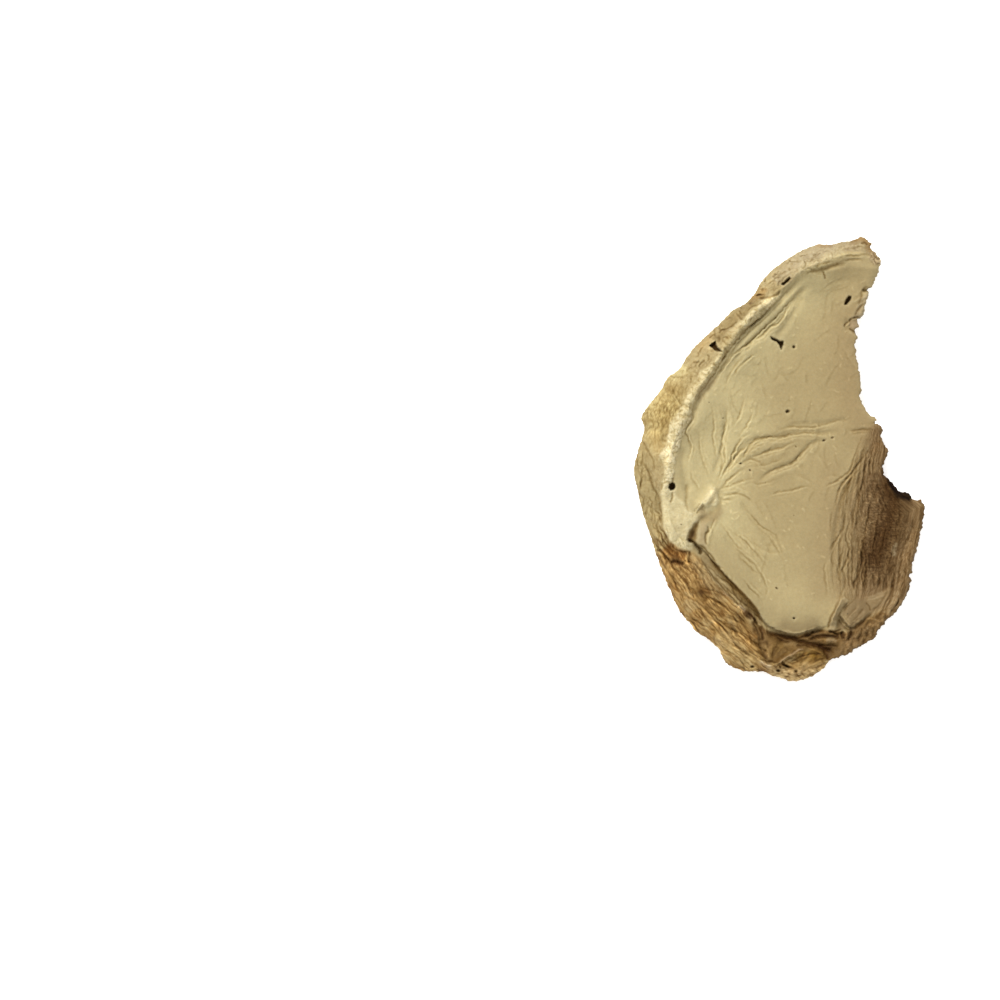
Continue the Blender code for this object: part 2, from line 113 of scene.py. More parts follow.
def pigment(red, green, blue):
    """The linear colour of a surface that shows as this sRGB colour under the scene's light."""
    share = np.array([red, green, blue]) / 255
    linear = np.where(share > 0.04045, ((share + 0.055) / 1.055) ** 2.4, share / 12.92)
    return linear / EXPOSURE


# What the flake's flesh and skin look like
BUFF = pigment(184, 164, 118)
CREAM = pigment(215, 198, 147)
PALE = pigment(222, 205, 157)
CHALK = pigment(229, 213, 170)
DUN = pigment(167, 144, 102)
SHADED_BUFF = pigment(172, 150, 107)
TAN = pigment(180, 160, 114)
GREY_SKIN = pigment(182, 165, 130)
STRAW = pigment(216, 200, 146)
OCHRE = pigment(182, 147, 90)
RUST = pigment(128, 88, 38)
OLIVE = pigment(176, 156, 108)
# Used as painted shade on the wall under the face's edge
WALL_BROWN = pigment(132, 102, 52)
WALL_GREY = pigment(172, 151, 108)
BAND_BROWN = pigment(138, 112, 77)
CORE_BROWN = pigment(80, 54, 25)
MARGIN_BROWN = pigment(147, 120, 82)
FOOT_BROWN = pigment(126, 96, 54)
AMBER = pigment(118, 88, 34)
UMBER = pigment(64, 38, 14)
FLECK = pigment(142, 113, 60)
# The painted shade inside the holes and pits
PIT_SHADE_BROWN = pigment(66, 40, 0)
GILL_BLACK = pigment(38, 24, 8)

# Lines that the surface follows
CREST = [
    (874, 262), (862, 254), (846, 253), (834, 257), (824, 263), (813, 267.5), (803, 270.5), (792, 280),
    (780, 291), (768, 301), (752, 316), (740, 328), (728, 342), (716, 360), (705, 376), (693, 393),
    (684, 410), (679, 424), (674, 440), (669, 455), (667, 470), (666, 487), (668, 504), (670, 522),
    (677, 537), (688, 545),
]
CHANNEL = [
    (689, 424), (692, 410), (697, 398), (704, 387), (713, 374), (721, 361), (729, 349), (739, 337),
    (751, 326), (764, 314), (776, 302), (790, 288), (803, 276),
]
BAND_LEFT = [
    (866, 427), (859, 440), (853, 453), (849, 466), (844, 478), (836, 492), (830, 512), (828, 535),
    (828, 562), (830, 585), (836, 604), (842, 624),
]
BAND_RIGHT = [
    (884, 426), (888, 448), (886, 470), (900, 490), (922, 503), (923, 515), (919, 536), (911, 562),
    (908, 585), (900, 605), (888, 617), (878, 628),
]
SKIN_GUIDE = [
    (872, 250), (838, 250), (803, 260), (770, 287), (738, 318), (708, 352), (680, 388), (660, 425),
    (652, 470), (654, 515), (668, 555), (692, 592), (722, 628), (752, 656), (790, 674), (830, 664),
]
GILLS_INNER = [(852, 448), (845, 475), (841, 505), (841, 535), (844, 560), (846, 582), (840, 602), (828, 618)]
GILLS_OUTER = [(876, 446), (879, 470), (894, 492), (906, 512), (908, 538), (902, 566), (888, 595), (862, 620)]
GILL_COUNT = 30
TORN_EDGE = [
    (868, 241), (876, 253), (880, 264), (873, 282), (866, 300), (860, 320), (856, 345), (858, 372),
    (860, 398), (874, 418), (882, 436), (886, 452), (883, 472), (896, 488), (912, 496), (924, 507),
    (920, 532), (912, 560), (909, 585), (898, 609), (882, 630), (862, 645), (836, 658),
]


def smooth_line(points):
    """A Catmull-Rom curve through the points."""
    points = np.asarray(points, float)
    padded = points[np.clip(np.arange(-1, len(points) + 1), 0, len(points) - 1)]
    steps = np.linspace(0, 1, CURVE_STEPS, endpoint=False)[:, None]
    spans = []
    for a, b, c, d in zip(padded[:-3], padded[1:-2], padded[2:-1], padded[3:]):
        bend = (2 * a - 5 * b + 4 * c - d) * steps**2 + (3 * b - a - 3 * c + d) * steps**3
        spans.append(0.5 * (2 * b + (c - a) * steps + bend))
    return np.vstack(spans + [points[-1:]])


def nearest(points, line):
    """For each point, how far the line is, on which side (left is positive) and how far along, in pixels."""
    best = np.full(len(points), np.inf)
    side = np.zeros(len(points))
    along = np.zeros(len(points))
    run = 0.0
    for start, end in zip(line[:-1], line[1:]):
        span = end - start
        length = np.hypot(*span)
        offset = points - start
        share = np.clip(offset @ span / length**2, 0, 1)
        gap = offset - share[:, None] * span
        distance = np.hypot(gap[:, 0], gap[:, 1])
        nearer = distance < best
        best[nearer] = distance[nearer]
        side[nearer] = np.sign(span[1] * offset[:, 0] - span[0] * offset[:, 1])[nearer]
        along[nearer] = (run + share * length)[nearer]
        run += length
    return best, side, along, run


def inside(points, polygon):
    """Which points lie in the closed polygon."""
    x, y = points.T
    found = np.zeros(len(points), bool)
    for (x0, y0), (x1, y1) in zip(polygon, np.roll(polygon, -1, axis=0)):
        if y0 != y1:
            found ^= ((y0 > y) != (y1 > y)) & (x < (x1 - x0) * (y - y0) / (y1 - y0) + x0)
    return found


def ease(share):
    share = np.clip(share, 0, 1)
    return share * share * (3 - 2 * share)


def noise(points, size, seed):
    """Smooth noise from about -1 to 1, with lumps of the given size."""
    order = np.random.default_rng(seed).permutation(NOISE_PERIOD)
    at = points / size
    cell = np.floor(at).astype(int)
    share = at - cell
    fade = share**3 * (share * (share * 6 - 15) + 10)

    def corner(dx, dy):
        column = order[(cell[:, 0] + dx) % NOISE_PERIOD]
        turn = order[(column + cell[:, 1] + dy) % NOISE_PERIOD] * (math.tau / NOISE_PERIOD)
        return np.cos(turn) * (share[:, 0] - dx) + np.sin(turn) * (share[:, 1] - dy)

    near = corner(0, 0) + fade[:, 0] * (corner(1, 0) - corner(0, 0))
    far = corner(0, 1) + fade[:, 0] * (corner(1, 1) - corner(0, 1))
    return 1.5 * (near + fade[:, 1] * (far - near))


def rough_noise(points, size, seed, layers=4):
    """Noise with finer and fainter layers on top, from about -1 to 1."""
    return sum(noise(points, size / 2**k, seed + k) / 2**k for k in range(layers)) / 1.6


def cracked(points, size, seed, width=0.15):
    """Rounded lumps, up to 1, and the thin cracks between them, where the noise changes sign."""
    level = noise(points, size, seed)
    cracks = np.exp(-((level / width) ** 2))
    return (1 - cracks) * (0.6 + 0.4 * np.abs(level)), cracks


def beside(points, gap):
    """The line shifted to its right by that many pixels."""
    points = np.asarray(points, float)
    span = np.gradient(points, axis=0)
    return points + gap * np.column_stack([-span[:, 1], span[:, 0]]) / np.hypot(*span.T)[:, None]


def turned(vector, angle):
    cosine, sine = math.cos(angle), math.sin(angle)
    return np.array([vector[0] * cosine - vector[1] * sine, vector[0] * sine + vector[1] * cosine])


def grain(points, degrees, stretch):
    """The points with distances along a direction shortened, for noise that is drawn out along it."""
    along, across = turned(points.T, -math.radians(degrees))
    return np.column_stack([along / stretch, across])


def heading(place, guide):
    """The direction of a guide line where it passes nearest to a place."""
    spans = np.diff(guide, axis=0)
    offset = place - guide[:-1]
    share = np.clip((offset * spans).sum(axis=1) / (spans**2).sum(axis=1), 0, 1)
    gap = offset - share[:, None] * spans
    span = spans[np.argmin((gap**2).sum(axis=1))]
    return span / np.hypot(*span)


def strokes(area, guide, count, length, wander, seed):
    """Short bent lines at random places in an area, roughly along a guide line. wander is in radians."""
    draw = np.random.default_rng(seed)
    area = np.asarray(area, float)
    low, high = area.min(axis=0), area.max(axis=0)
    guide = smooth_line(guide)
    lines = []
    while len(lines) < count:
        middle = draw.uniform(low, high)
        half = length * draw.uniform(0.2, 0.7)
        turn, bow = draw.normal(0, wander), draw.normal(0, 0.22)
        if inside(middle[None], area)[0]:
            ahead = turned(heading(middle, guide), turn) * half
            across = turned(ahead, math.pi / 2) * bow
            bent = [middle - ahead * 0.3 + across, middle + ahead * 0.4 + across]
            lines.append([middle - ahead, *bent, middle + ahead])
    return lines


class Flesh:
    """A side of the flake being worked: where its points are, how far each is raised, and its colour."""

    def __init__(self, at):
        # The places wander a little, so that no drawn line comes out even
        broad = np.column_stack([noise(at, 9, 1), noise(at, 9, 2)])
        fine = np.column_stack([noise(at, 3.6, 3), noise(at, 3.6, 4)])
        self.at = at + 0.6 * broad + 0.3 * fine
        self.rise = np.zeros(len(at))
        self.paint = np.tile(BUFF, (len(at), 1))
        self.rough = np.full(len(at), 0.3)
        self.run = np.zeros_like(at)
        self.fibre = np.zeros(len(at))

    def grow(self, mask, run, strength):
        """Fine fibres over an area, drawn by the material along the first of these coordinates."""
        here = mask > 0.5
        self.run[here] = run[here]
        self.fibre[here] = (strength * ease(2 * mask - 1))[here]

    def near(self, points, margin):
        """The points in the box round a line or an area, with a margin."""
        low, high = points.min(axis=0) - margin, points.max(axis=0) + margin
        return np.flatnonzero(((self.at > low) & (self.at < high)).all(axis=1))

    def tint(self, mask, colour, strength=1.0):
        mask = (mask * strength)[:, None]
        self.paint = self.paint * (1 - mask) + np.asarray(colour) * mask

    def shade(self, mask, factor, where=slice(None)):
        """Darkens and warms where factor is under 1, and lightens where it is over 1."""
        toward = factor ** (WARMTH if factor < 1 else np.ones(3))
        self.paint[where] *= 1 + mask[:, None] * (toward - 1)

    def fold(self, points, lift, reach, groove, dark, light, ends=0.25, seed=0, thin=1.15):
        """A fold: a lip on the line's right, beyond a narrow groove, that sinks over reach pixels."""
        line = smooth_line(points)
        close = self.near(line, 3 * reach + 3)
        at = self.at[close]
        distance, side, along, length = nearest(at, line)
        away = -distance * side + 0.7 * noise(at, 4.5, 90 + seed)
        fade = ease(np.minimum(along, length - along) / (ends * length))
        fade = fade * (1 + 0.5 * noise(at, 11, 80 + seed) + 0.35 * noise(at, 5, 81 + seed))
        lip = ease(away / LIP_AT) * np.exp(-np.maximum(away, 0) / reach) * fade
        cut = np.exp(-(((away + 0.2) / thin) ** 2)) * fade
        glint = np.exp(-(((away - LIP_AT) / 1.1) ** 2)) * fade
        self.rise[close] += lift * lip - groove * cut
        # The groove is darkened as painted shade, and the lip and its glint are lightened as a painted
        # highlight
        self.shade(np.clip(cut, 0, 1), dark, close)
        self.shade(np.clip(0.4 * lip + 0.6 * glint, 0, 1), light, close)

    def folds(self, lines, *shape, **look):
        """The same fold along each of the lines, with the number of the line as its seed."""
        for seed, points in enumerate(lines):
            self.fold(points, *shape, seed=seed, **look)

    def line(self, points, half_width, ends=0.15, uneven=0.0, seed=0):
        """A mask along a line: 1 on it, fading sideways over half_width pixels and towards its ends."""
        line = smooth_line(points)
        close = self.near(line, 2.6 * half_width)
        mask = np.zeros(len(self.at))
        if len(close):
            distance, _, along, length = nearest(self.at[close], line)
            width = half_width * (1 + uneven * noise(self.at[close], 7, 40 + seed))
            fade = ease(np.minimum(along, length - along) / max(ends * length, 0.01)) if ends else 1.0
            mask[close] = np.exp(-((distance / width) ** 2)) * fade
        return mask

    def tint_lines(self, rows, within=1.0):
        """Coloured lines. A row is a half width, ends, unevenness, a colour, its amount and the line."""
        for half_width, ends, uneven, colour, amount, points in rows:
            self.tint(self.line(points, half_width, ends, uneven) * within, colour, amount)

    def shade_lines(self, rows, within=1.0):
        """Darker or lighter lines. A row is a half width, ends, the factor and the line."""
        for half_width, ends, factor, points in rows:
            self.shade(self.line(points, half_width, ends) * within, factor)

    def wrinkle(self, mask, run, layers, creases, light=1.35):
        """Rounded wrinkles with coloured creases. A layer is a size in pixels, a height and a seed."""
        for size, height, seed in layers:
            level = noise(run, size, seed)
            self.rise += mask * height * np.abs(level)
            self.tint(mask * np.exp(-((level / 0.11) ** 2)), creases, min(4 * height, 0.6))
            # The ridges are lightened: a painted highlight
            self.shade(mask * np.clip(np.abs(level) - 0.12, 0, 1) * min(6 * height, 1), light)

    def patch(self, polygon, soft, uneven=0.0, seed=0):
        """A mask over an area, with an edge that is soft over that many pixels and may wander."""
        polygon = np.asarray(polygon, float)
        close = self.near(polygon, soft + uneven + 1)
        mask = np.zeros(len(self.at))
        distance, _, _, _ = nearest(self.at[close], np.vstack([polygon, polygon[:1]]))
        signed = np.where(inside(self.at[close], polygon), distance, -distance)
        if uneven:
            signed = signed + uneven * rough_noise(self.at[close], 16, 60 + seed, 3)
        mask[close] = ease(0.5 + signed / (2 * soft))
        return mask

    def spot(self, middle, radius, stretch=1.0, turn=0.0, sharp=1.0):
        """A round or oval mask. turn is in degrees, from the photograph's right towards its foot."""
        offset = self.at - np.asarray(middle, float)
        u, v = turned(offset.T, -math.radians(turn))
        return np.exp(-(((u / (radius * stretch)) ** 2 + (v / radius) ** 2) ** sharp))

    def flow(self, guide):
        """Each point's place along and across a guide line, in pixels."""
        distance, side, along, _ = nearest(self.at, smooth_line(guide))
        return np.column_stack([along, distance * side])


# Areas, as polygons. Those that reach the silhouette run past it
OUTSIDE = [(845, 700), (600, 700), (600, 225), (892, 225), (884, 256)]
SKIN_AREA = CREST + [
    (690, 552), (699, 557), (712, 579), (731, 599), (746, 612), (754, 628), (758, 645), (768, 664),
    (778, 663), (790, 656), (806, 651), (818, 656), (830, 658),
] + OUTSIDE
CREST_AREA = [
    (777, 296), (763, 299.5), (756, 306), (749, 313), (741, 321), (733, 328), (726, 336), (721.5, 345),
    (720, 353), (714, 362), (702, 371), (694, 383), (687, 393), (681, 406), (676, 416), (668.5, 423),
    (668, 433), (664.5, 447), (659, 456), (662.5, 464), (664.5, 475), (661, 484), (660.5, 491), (661, 503),
    (662, 513), (664.5, 529.5), (669, 540), (678, 547.5), (689.5, 549), (691, 543.5), (687, 538.5),
    (689.5, 529.5), (694.5, 523.5), (698.5, 517), (703.5, 510.5), (711, 507), (716, 501.5), (716.5, 491.5),
    (713.5, 488), (708.5, 491.5), (701, 501.5), (693, 513), (687, 510.5), (684, 504.5), (676.5, 498),
    (673, 493), (671, 479), (674, 461), (677.5, 451), (682, 433.5), (684.5, 428), (690, 419.5), (691, 412),
    (691, 404), (697, 396.5), (701, 389.5), (706, 383), (712, 376), (718.5, 366), (727, 352), (738, 336),
    (750, 324), (760, 316), (773, 303.5), (780, 296),
]
PALE_AREA = [
    (661, 484), (668, 490), (676.5, 497), (684, 503), (691, 513), (698, 508), (708, 491), (716, 492),
    (714, 503), (703, 512), (696, 521), (690, 530), (687, 538), (691, 544), (689, 549), (678, 547),
    (669, 540), (664, 528), (661, 503),
]
WALL_AREA = [
    (697, 546), (703, 549.5), (713, 561.5), (725, 575), (738, 588), (750, 600.5), (758, 611), (762, 622),
    (758, 628), (752, 620), (744, 611), (735, 605), (724, 594), (712, 580), (703, 567),
]
BAND_AREA = BAND_LEFT + [
    (850, 628), (866, 616), (884, 606), (900, 625), (945, 600), (945, 425), (884, 422), (872, 425),
]
FOOT_AREA = [
    (752, 612), (762, 627), (770, 632), (780, 634), (797, 635), (812, 630), (829, 629), (842, 631),
    (851, 630), (862, 620), (880, 610), (900, 620), (885, 650), (832, 664), (818, 654), (806, 650),
    (790, 656), (778, 663), (768, 664), (758, 648), (750, 630),
]
HOLLOW_AREA = [(760, 630), (775, 638), (788, 643), (800, 645), (790, 651), (779, 657), (770, 662), (760, 650)]
BULGE_AREA = [(793, 655), (803, 650), (815, 651), (825, 657), (824, 664), (812, 668), (800, 665)]
CORNER_AREA = [(850, 634), (868, 618), (884, 606), (904, 608), (884, 645), (850, 662), (838, 655)]
LOW_SKIN_AREA = [
    (768, 668), (780, 667), (795, 670), (806, 668), (818, 667), (828, 664), (812, 685), (770, 682),
]
ORANGE_AREA = [
    (662, 542), (676, 546), (690, 551), (699, 560), (712, 580), (731, 599), (746, 612), (752, 628),
    (759, 646), (768, 666), (800, 655), (830, 662), (830, 700), (760, 690), (640, 600),
]
LEFT_AREA = [
    (628, 452), (640, 457), (648, 471), (653, 488), (657, 494), (660, 509), (664, 530), (672, 548),
    (655, 552), (640, 520), (625, 480),
]
STRIP_AREA = [
    (812, 252), (790, 258), (772, 274), (752, 293), (735, 308), (712, 332), (698, 350), (680, 376),
    (684, 386), (706, 364), (722, 343), (740, 321), (757, 304), (780, 292), (800, 276), (822, 262),
]
CORE_AREA = [(866, 478), (886, 482), (900, 500), (902, 530), (892, 560), (870, 578), (858, 560), (862, 505)]
GILL_AREA = [
    (886, 477), (891, 481), (897, 487), (905, 490), (912, 492), (913, 497), (908, 502), (901, 500),
    (895, 498), (891, 491), (887, 484),
]

# The strip of the face beside the wall that the wall's folds leave alone: how far off the edge, half width
SPARED_OFF_EDGE = -5
SPARED_HALF_WIDTH = 4.5

# How far along its guide the skin turns orange, and over how many pixels
ORANGE_FROM, ORANGE_OVER = 375, 40

# The crest is greyer above this row of the photograph, and ridged, with painted shade on its lit slope,
# between these two
GREY_ABOVE = 390
RIDGED_FROM, RIDGED_TO = 325, 440

# The brown band's fibres: how wide it counts, how far they are drawn out, and how many single folds it has
BAND_SPREAD = 90
BAND_STRETCH = 0.17
BAND_FOLDS = 70


def paint_areas(flesh):
    """Broad colour: the face, the skin, the brown band and the foot."""
    at = flesh.at
    flesh.tint_lines([
        (32, 0, 0, CREAM, 0.8, [(800, 288), (765, 325), (730, 375), (705, 420), (692, 460), (700, 485)]),
        (24, 0, 0, CREAM, 0.85, [(745, 425), (720, 455), (722, 520)]),
        (30, 0, 0, CREAM, 0.25, [(745, 545), (775, 590), (800, 605)]),
        (26, 0, 0, DUN, 0.8, [(856, 320), (852, 380), (866, 428)]),
        (16, 0, 0, SHADED_BUFF, 0.7, [(832, 470), (824, 530), (822, 590)]),
        # A painted shadow along the face's low edge
        (9, 0.2, 0, pigment(150, 130, 92), 0.75, [(774, 622), (795, 629), (824, 621)]),
    ])

    skin = flesh.patch(SKIN_AREA, 1.2, uneven=1.5)
    flesh.tint(skin, TAN)
    flesh.tint_lines([(15, 0, 0, GREY_SKIN, 0.9, [(850, 246), (820, 252), (798, 266)])], skin)
    flesh.tint(flesh.patch(ORANGE_AREA, 5, uneven=4, seed=1), OCHRE, 0.95)
    flesh.tint(flesh.patch(LEFT_AREA, 3, uneven=2, seed=3), OLIVE, 0.95)
    flesh.tint_lines([
        (6, 0.1, 0, STRAW, 0.9, [(690, 365), (672, 378), (656, 396), (643, 416)]),
        (8, 0, 0.5, OCHRE, 0.45, [(668, 388), (660, 410), (668, 432)]),
        (6, 0, 0.5, OCHRE, 0.4, [(655, 432), (662, 445)]),
        (5, 0, 0.5, OCHRE, 0.4, [(708, 338), (700, 348)]),
        (3.5, 0, 0.5, OCHRE, 0.8, [(763, 292), (756, 296), (750, 298)]),
        (3, 0, 0.5, OCHRE, 0.6, [(666, 440), (671, 447)]),
    ])

    share, _ = across_band(at)
    band = flesh.patch(BAND_AREA, 6, uneven=4, seed=5)
    flesh.tint(band, DUN, 0.9)
    flesh.tint(band * ease(share / 0.5 - 0.08 + 0.12 * noise(at, 12, 12)), BAND_BROWN, 0.95)
    flesh.tint_lines([(8, 0, 0.3, pigment(146, 118, 80), 0.8, [(876, 436), (880, 452), (882, 466)])])
    flesh.tint_lines([
        (17, 0, 0.3, CORE_BROWN, 0.93, [(888, 486), (893, 504), (888, 525), (880, 543), (874, 558)]),
        (8, 0, 0.3, pigment(104, 80, 48), 0.75, [(903, 508), (898, 534), (890, 556), (884, 578)]),
    ], band)
    flesh.tint_lines([
        (1.8, 0.15, 0.5, pigment(160, 143, 112), 0.7, [(895, 542), (892.5, 550), (893, 557)]),
        (9, 0, 0, MARGIN_BROWN, 0.95,
         [(921, 500), (919, 520), (913, 545), (907, 566), (901, 588), (892, 604)]),
        (12, 0, 0, MARGIN_BROWN, 0.55, [(893, 600), (872, 622), (842, 650)]),
        (6, 0.1, 0, pigment(170, 144, 104), 0.7, [(885, 609), (893, 600), (899, 590)]),
        (9, 0.1, 0, pigment(160, 134, 94), 0.5, [(866, 452), (869, 462), (870, 474)]),
    ])
    flesh.tint(flesh.patch(GILL_AREA, 2.0, uneven=1.0), GILL_BLACK, 0.97)

    flesh.tint(flesh.patch(FOOT_AREA, 2.5, uneven=2, seed=6), FOOT_BROWN, 0.95)
    flesh.tint(flesh.spot((778, 650), 9, 1.4, -20), pigment(148, 116, 64), 0.8)
    low_right = [(846, 634), (868, 624), (884, 612), (904, 612), (880, 650), (838, 664), (836, 652)]
    flesh.tint(flesh.patch(low_right, 5, uneven=3, seed=7), pigment(128, 102, 66), 0.85)
    wall = flesh.patch(WALL_AREA, 1.2)
    flesh.tint(wall, WALL_GREY)
    # Darker brown along the face's edge over the wall: painted shade under the edge
    flesh.tint_lines([
        (5.2, 0.1, 0, WALL_BROWN, 0.85, [(708, 556), (724, 574), (741, 592), (756, 610), (761, 623)]),
        (6, 0.1, 0, WALL_BROWN, 0.5, [(727, 583), (741, 596), (756, 612)]),
    ], wall)
    flesh.tint(flesh.patch(BULGE_AREA, 3), pigment(136, 106, 54), 0.9)
    flesh.tint(flesh.spot((814, 655), 6, 1.8, 10), AMBER, 0.95)
    flesh.paint *= (1 + 0.04 * rough_noise(at, 60, 11) + 0.04 * rough_noise(at, 9, 15))[:, None]
    return skin, band


def work_skin(flesh, skin):
    """The cap's skin: mottled and flaky at the top, orange and finely wrinkled towards the foot."""
    at = flesh.at
    along, across = flesh.flow(SKIN_GUIDE).T
    low = skin * ease((along - ORANGE_FROM) / ORANGE_OVER)
    high = skin - low

    sway = across + 2.0 * noise(at, 34, 21)
    run = np.column_stack([along / 7, sway])
    flesh.grow(skin, np.column_stack([along / 4, 0.6 * sway + 1.2 * noise(at, 9, 59)]),
               0.1 + 0.3 * ease(0.4 + 1.3 * rough_noise(at, 15, 66, 2)))
    flesh.grow(low, np.column_stack([along / 10, 0.62 * sway + 1.1 * noise(at, 10, 59)]),
               0.3 + 0.55 * ease(0.5 + 1.3 * rough_noise(at, 15, 66, 2)))
    knot = low * np.clip(flesh.spot((690, 575), 18, 1.4, 60) + flesh.spot((666, 548), 14, 1.5, 50), 0, 1)
    patchy = low * (0.45 + 0.55 * ease(rough_noise(at, 14, 28, 2) * 1.4 + 0.55))
    flesh.wrinkle(patchy, run, [(6.5, 0.22, 22), (3.2, 0.15, 23), (1.8, 0.07, 27)], RUST)
    flesh.wrinkle(knot, grain(at, 70, 2), [(6, 0.18, 24), (3, 0.08, 39)], RUST)
    flesh.folds(strokes(ORANGE_AREA, SKIN_GUIDE, 40, 34, 0.07, 91), 0.10, 2.4, 0.12, 0.55, 1.35, thin=0.75)
    flesh.tint(low * ease(rough_noise(at, 22, 26) * 1.6 - 0.4), RUST, 0.22)
    flesh.tint(low * ease(rough_noise(at, 13, 87, 3) * 2 - 0.35), UMBER, 0.3)
    flesh.tint(low * ease(rough_noise(at, 17, 92, 3) * 2 - 0.1), pigment(200, 174, 122), 0.6)
    # Long cracks, each with a painted highlight beside it
    for seed, line in enumerate(strokes(ORANGE_AREA, SKIN_GUIDE, 24, 46, 0.04, 99)):
        flesh.shade(flesh.line(line, 0.9, uneven=0.8, seed=seed) * low, 0.5)
        flesh.shade(flesh.line(beside(line, 1.9), 1.0, uneven=0.8, seed=seed) * low, 1.35)
    flesh.tint_lines([(8, 0.15, 0.6, pigment(150, 104, 50), 0.75, [(664, 544), (674, 553), (686, 556)])])
    flesh.tint(flesh.spot((700, 589), 7, 1.2, 50), pigment(120, 80, 30), 0.6)
    flesh.tint(flesh.spot((675, 560), 5, 1.3, 30), pigment(92, 60, 26), 0.55)
    bulge = flesh.line([(712, 632), (742, 658), (762, 670)], 10, uneven=0.5)
    flesh.tint(bulge, pigment(214, 188, 132), 0.55)
    flesh.wrinkle(bulge, grain(at, 30, 3), [(5, 0.12, 40), (2.6, 0.06, 43)], OCHRE)

    flaky = ease(rough_noise(at, 22, 36) * 2.4 + 0.3) * high
    flaky = flaky * (1 - 0.9 * flesh.spot((812, 254), 12, 1.8, -28))
    crumbs = ease(noise(at, 2.8, 38) * 4 - 1.7) * flaky
    flesh.rise += high * (0.07 * rough_noise(at, 13, 25) + 0.03 * noise(at, 3.2, 29))
    flesh.wrinkle(flaky, run * [2.5, 1], [(7, 0.10, 37), (3.4, 0.06, 44)], DUN, light=1.12)
    flesh.shade(crumbs, 0.68)
    flesh.shade(high * ease(rough_noise(at, 13, 31) * 2 - 0.2), 0.9)
    yellow = high * flesh.spot((664, 412), 22, 1.7, 115)
    flesh.tint(yellow, pigment(196, 173, 112), 0.8)
    flesh.tint(yellow * ease(rough_noise(at, 11, 33) * 2.5 + 0.2), FLECK, 0.65)
    flesh.wrinkle(yellow, grain(at, 100, 2), [(5.5, 0.18, 45), (2.8, 0.10, 78)], FLECK, light=1.3)
    flesh.folds(strokes(LEFT_AREA, SKIN_GUIDE, 34, 18, 0.14, 93), 0.07, 2.6, 0.06, 0.78, 1.08, thin=0.8)
    for seed, line in enumerate(strokes(STRIP_AREA, SKIN_GUIDE, 34, 9, 0.6, 97)):
        flesh.fold(line, 0.08, 2.2, 0.08, dark=0.68 + 0.006 * seed, light=1.1, seed=seed, thin=0.8)
    for seed, line in enumerate(strokes(STRIP_AREA, SKIN_GUIDE, 26, 3, 1.0, 98)):
        flesh.shade(flesh.line(line, 1.1, uneven=0.8, seed=seed), 0.66)
    # A darker strip beside the crest, painted shade on a slope that faces the lamp, and two lighter patches
    flesh.shade_lines([
        (6, 0.1, 0.68, [(762, 294), (735, 319), (712, 344)]),
        (6, 0.1, 1.2, [(715, 341), (705, 352)]),
        (6, 0.1, 1.25, [(654, 430), (654, 444), (660, 456)]),
    ], high)
    flesh.tint_lines([(7, 0.1, 0, GREY_SKIN, 0.5, [(786, 270), (772, 283)])], high)
    flesh.rough += 0.3 * skin


def across_band(at):
    """How far across the brown band each point is, from 0 at its left to 1, and how far down, in pixels."""
    left, _, along, _ = nearest(at, smooth_line(BAND_LEFT))
    right, _, _, _ = nearest(at, smooth_line(BAND_RIGHT))
    return left / (left + right), along


def between(share, step):
    """A place in the brown band: share of the way across, and share of the way down."""
    place = []
    for line in (smooth_line(BAND_LEFT), smooth_line(BAND_RIGHT)):
        run = np.concatenate([[0], np.cumsum(np.hypot(*np.diff(line, axis=0).T))])
        place.append([np.interp(step * run[-1], run, axis) for axis in line.T])
    return np.array(place[0]) * (1 - share) + np.array(place[1]) * share


def work_band(flesh, band):
    """The fibres of the brown band, side by side between its two edges, and fine cracks across its core."""
    at = flesh.at
    share, along = across_band(at)
    band = band * (1 - np.clip(sum(flesh.patch(corners, 3) for *_, corners in SHEETS), 0, 0.85))
    inner = flesh.patch(CORE_AREA, 8)
    bold = band * (0.3 + 0.7 * ease(share / 0.5)) * (1 - 0.45 * inner)
    fibres = np.column_stack([share * BAND_SPREAD + 1.8 * noise(at, 30, 34),
                              along * BAND_STRETCH + 0.3 * noise(at, 14, 31)])
    ribs = 0.7 * noise(fibres, 4.4, 32) + 0.55 * noise(fibres, 2.1, 33)
    flesh.grow(band, fibres * [0.8, 1.3], 0.2 + 0.4 * ease((share - 0.1) / 0.4))
    flesh.rise += bold * 0.09 * ribs
    # Painted shade in the ribs' hollows and painted light on their tops
    flesh.shade(bold * np.clip(-ribs * 1.2, 0, 1), 0.78)
    flesh.shade(bold * np.clip(ribs * 1.2, 0, 1), 1.26)

    # Single folds down the band, fainter at its left and over the core
    draw = np.random.default_rng(94)
    for seed in range(BAND_FOLDS):
        across, start = draw.uniform(0.0, 0.97), draw.uniform(0.02, 0.78)
        run = draw.uniform(0.08, 0.3)
        steps = np.linspace(start, min(start + run, 0.99 if across > 0.75 else 0.82), 5)
        wander = np.cumsum(draw.normal(0, 0.007, 5))
        line = [between(across + sway, step) for sway, step in zip(wander, steps)]
        firm = 0.45 + 0.55 * min(across / 0.4, 1.0)
        firm = firm * (0.6 if 0.45 < across < 0.85 and start < 0.65 else 1.0)
        flesh.fold(line, 0.06 * firm, 2.6, 0.08 * firm, dark=0.66 ** firm, light=1.1, seed=seed, thin=0.9)
    crackle, cracks = cracked(at * [0.36, 1.0], 2.5, 35)
    flesh.rise += inner * 0.05 * crackle
    # Painted shade in the core's cracks and painted light on the lumps between them
    flesh.shade(inner * cracks, 0.7)
    flesh.shade(inner * np.clip(crackle - 0.4, 0, 1), 1.35)
    specks = noise(at * [0.7, 1.0], 2.4, 88)
    flesh.rise += inner * 0.04 * specks
    flesh.shade(inner * ease(specks * 3 - 1.1), 1.45)
    flesh.shade(inner * ease(-specks * 3 - 1.1), 0.75)
    flesh.rough += 0.45 * band


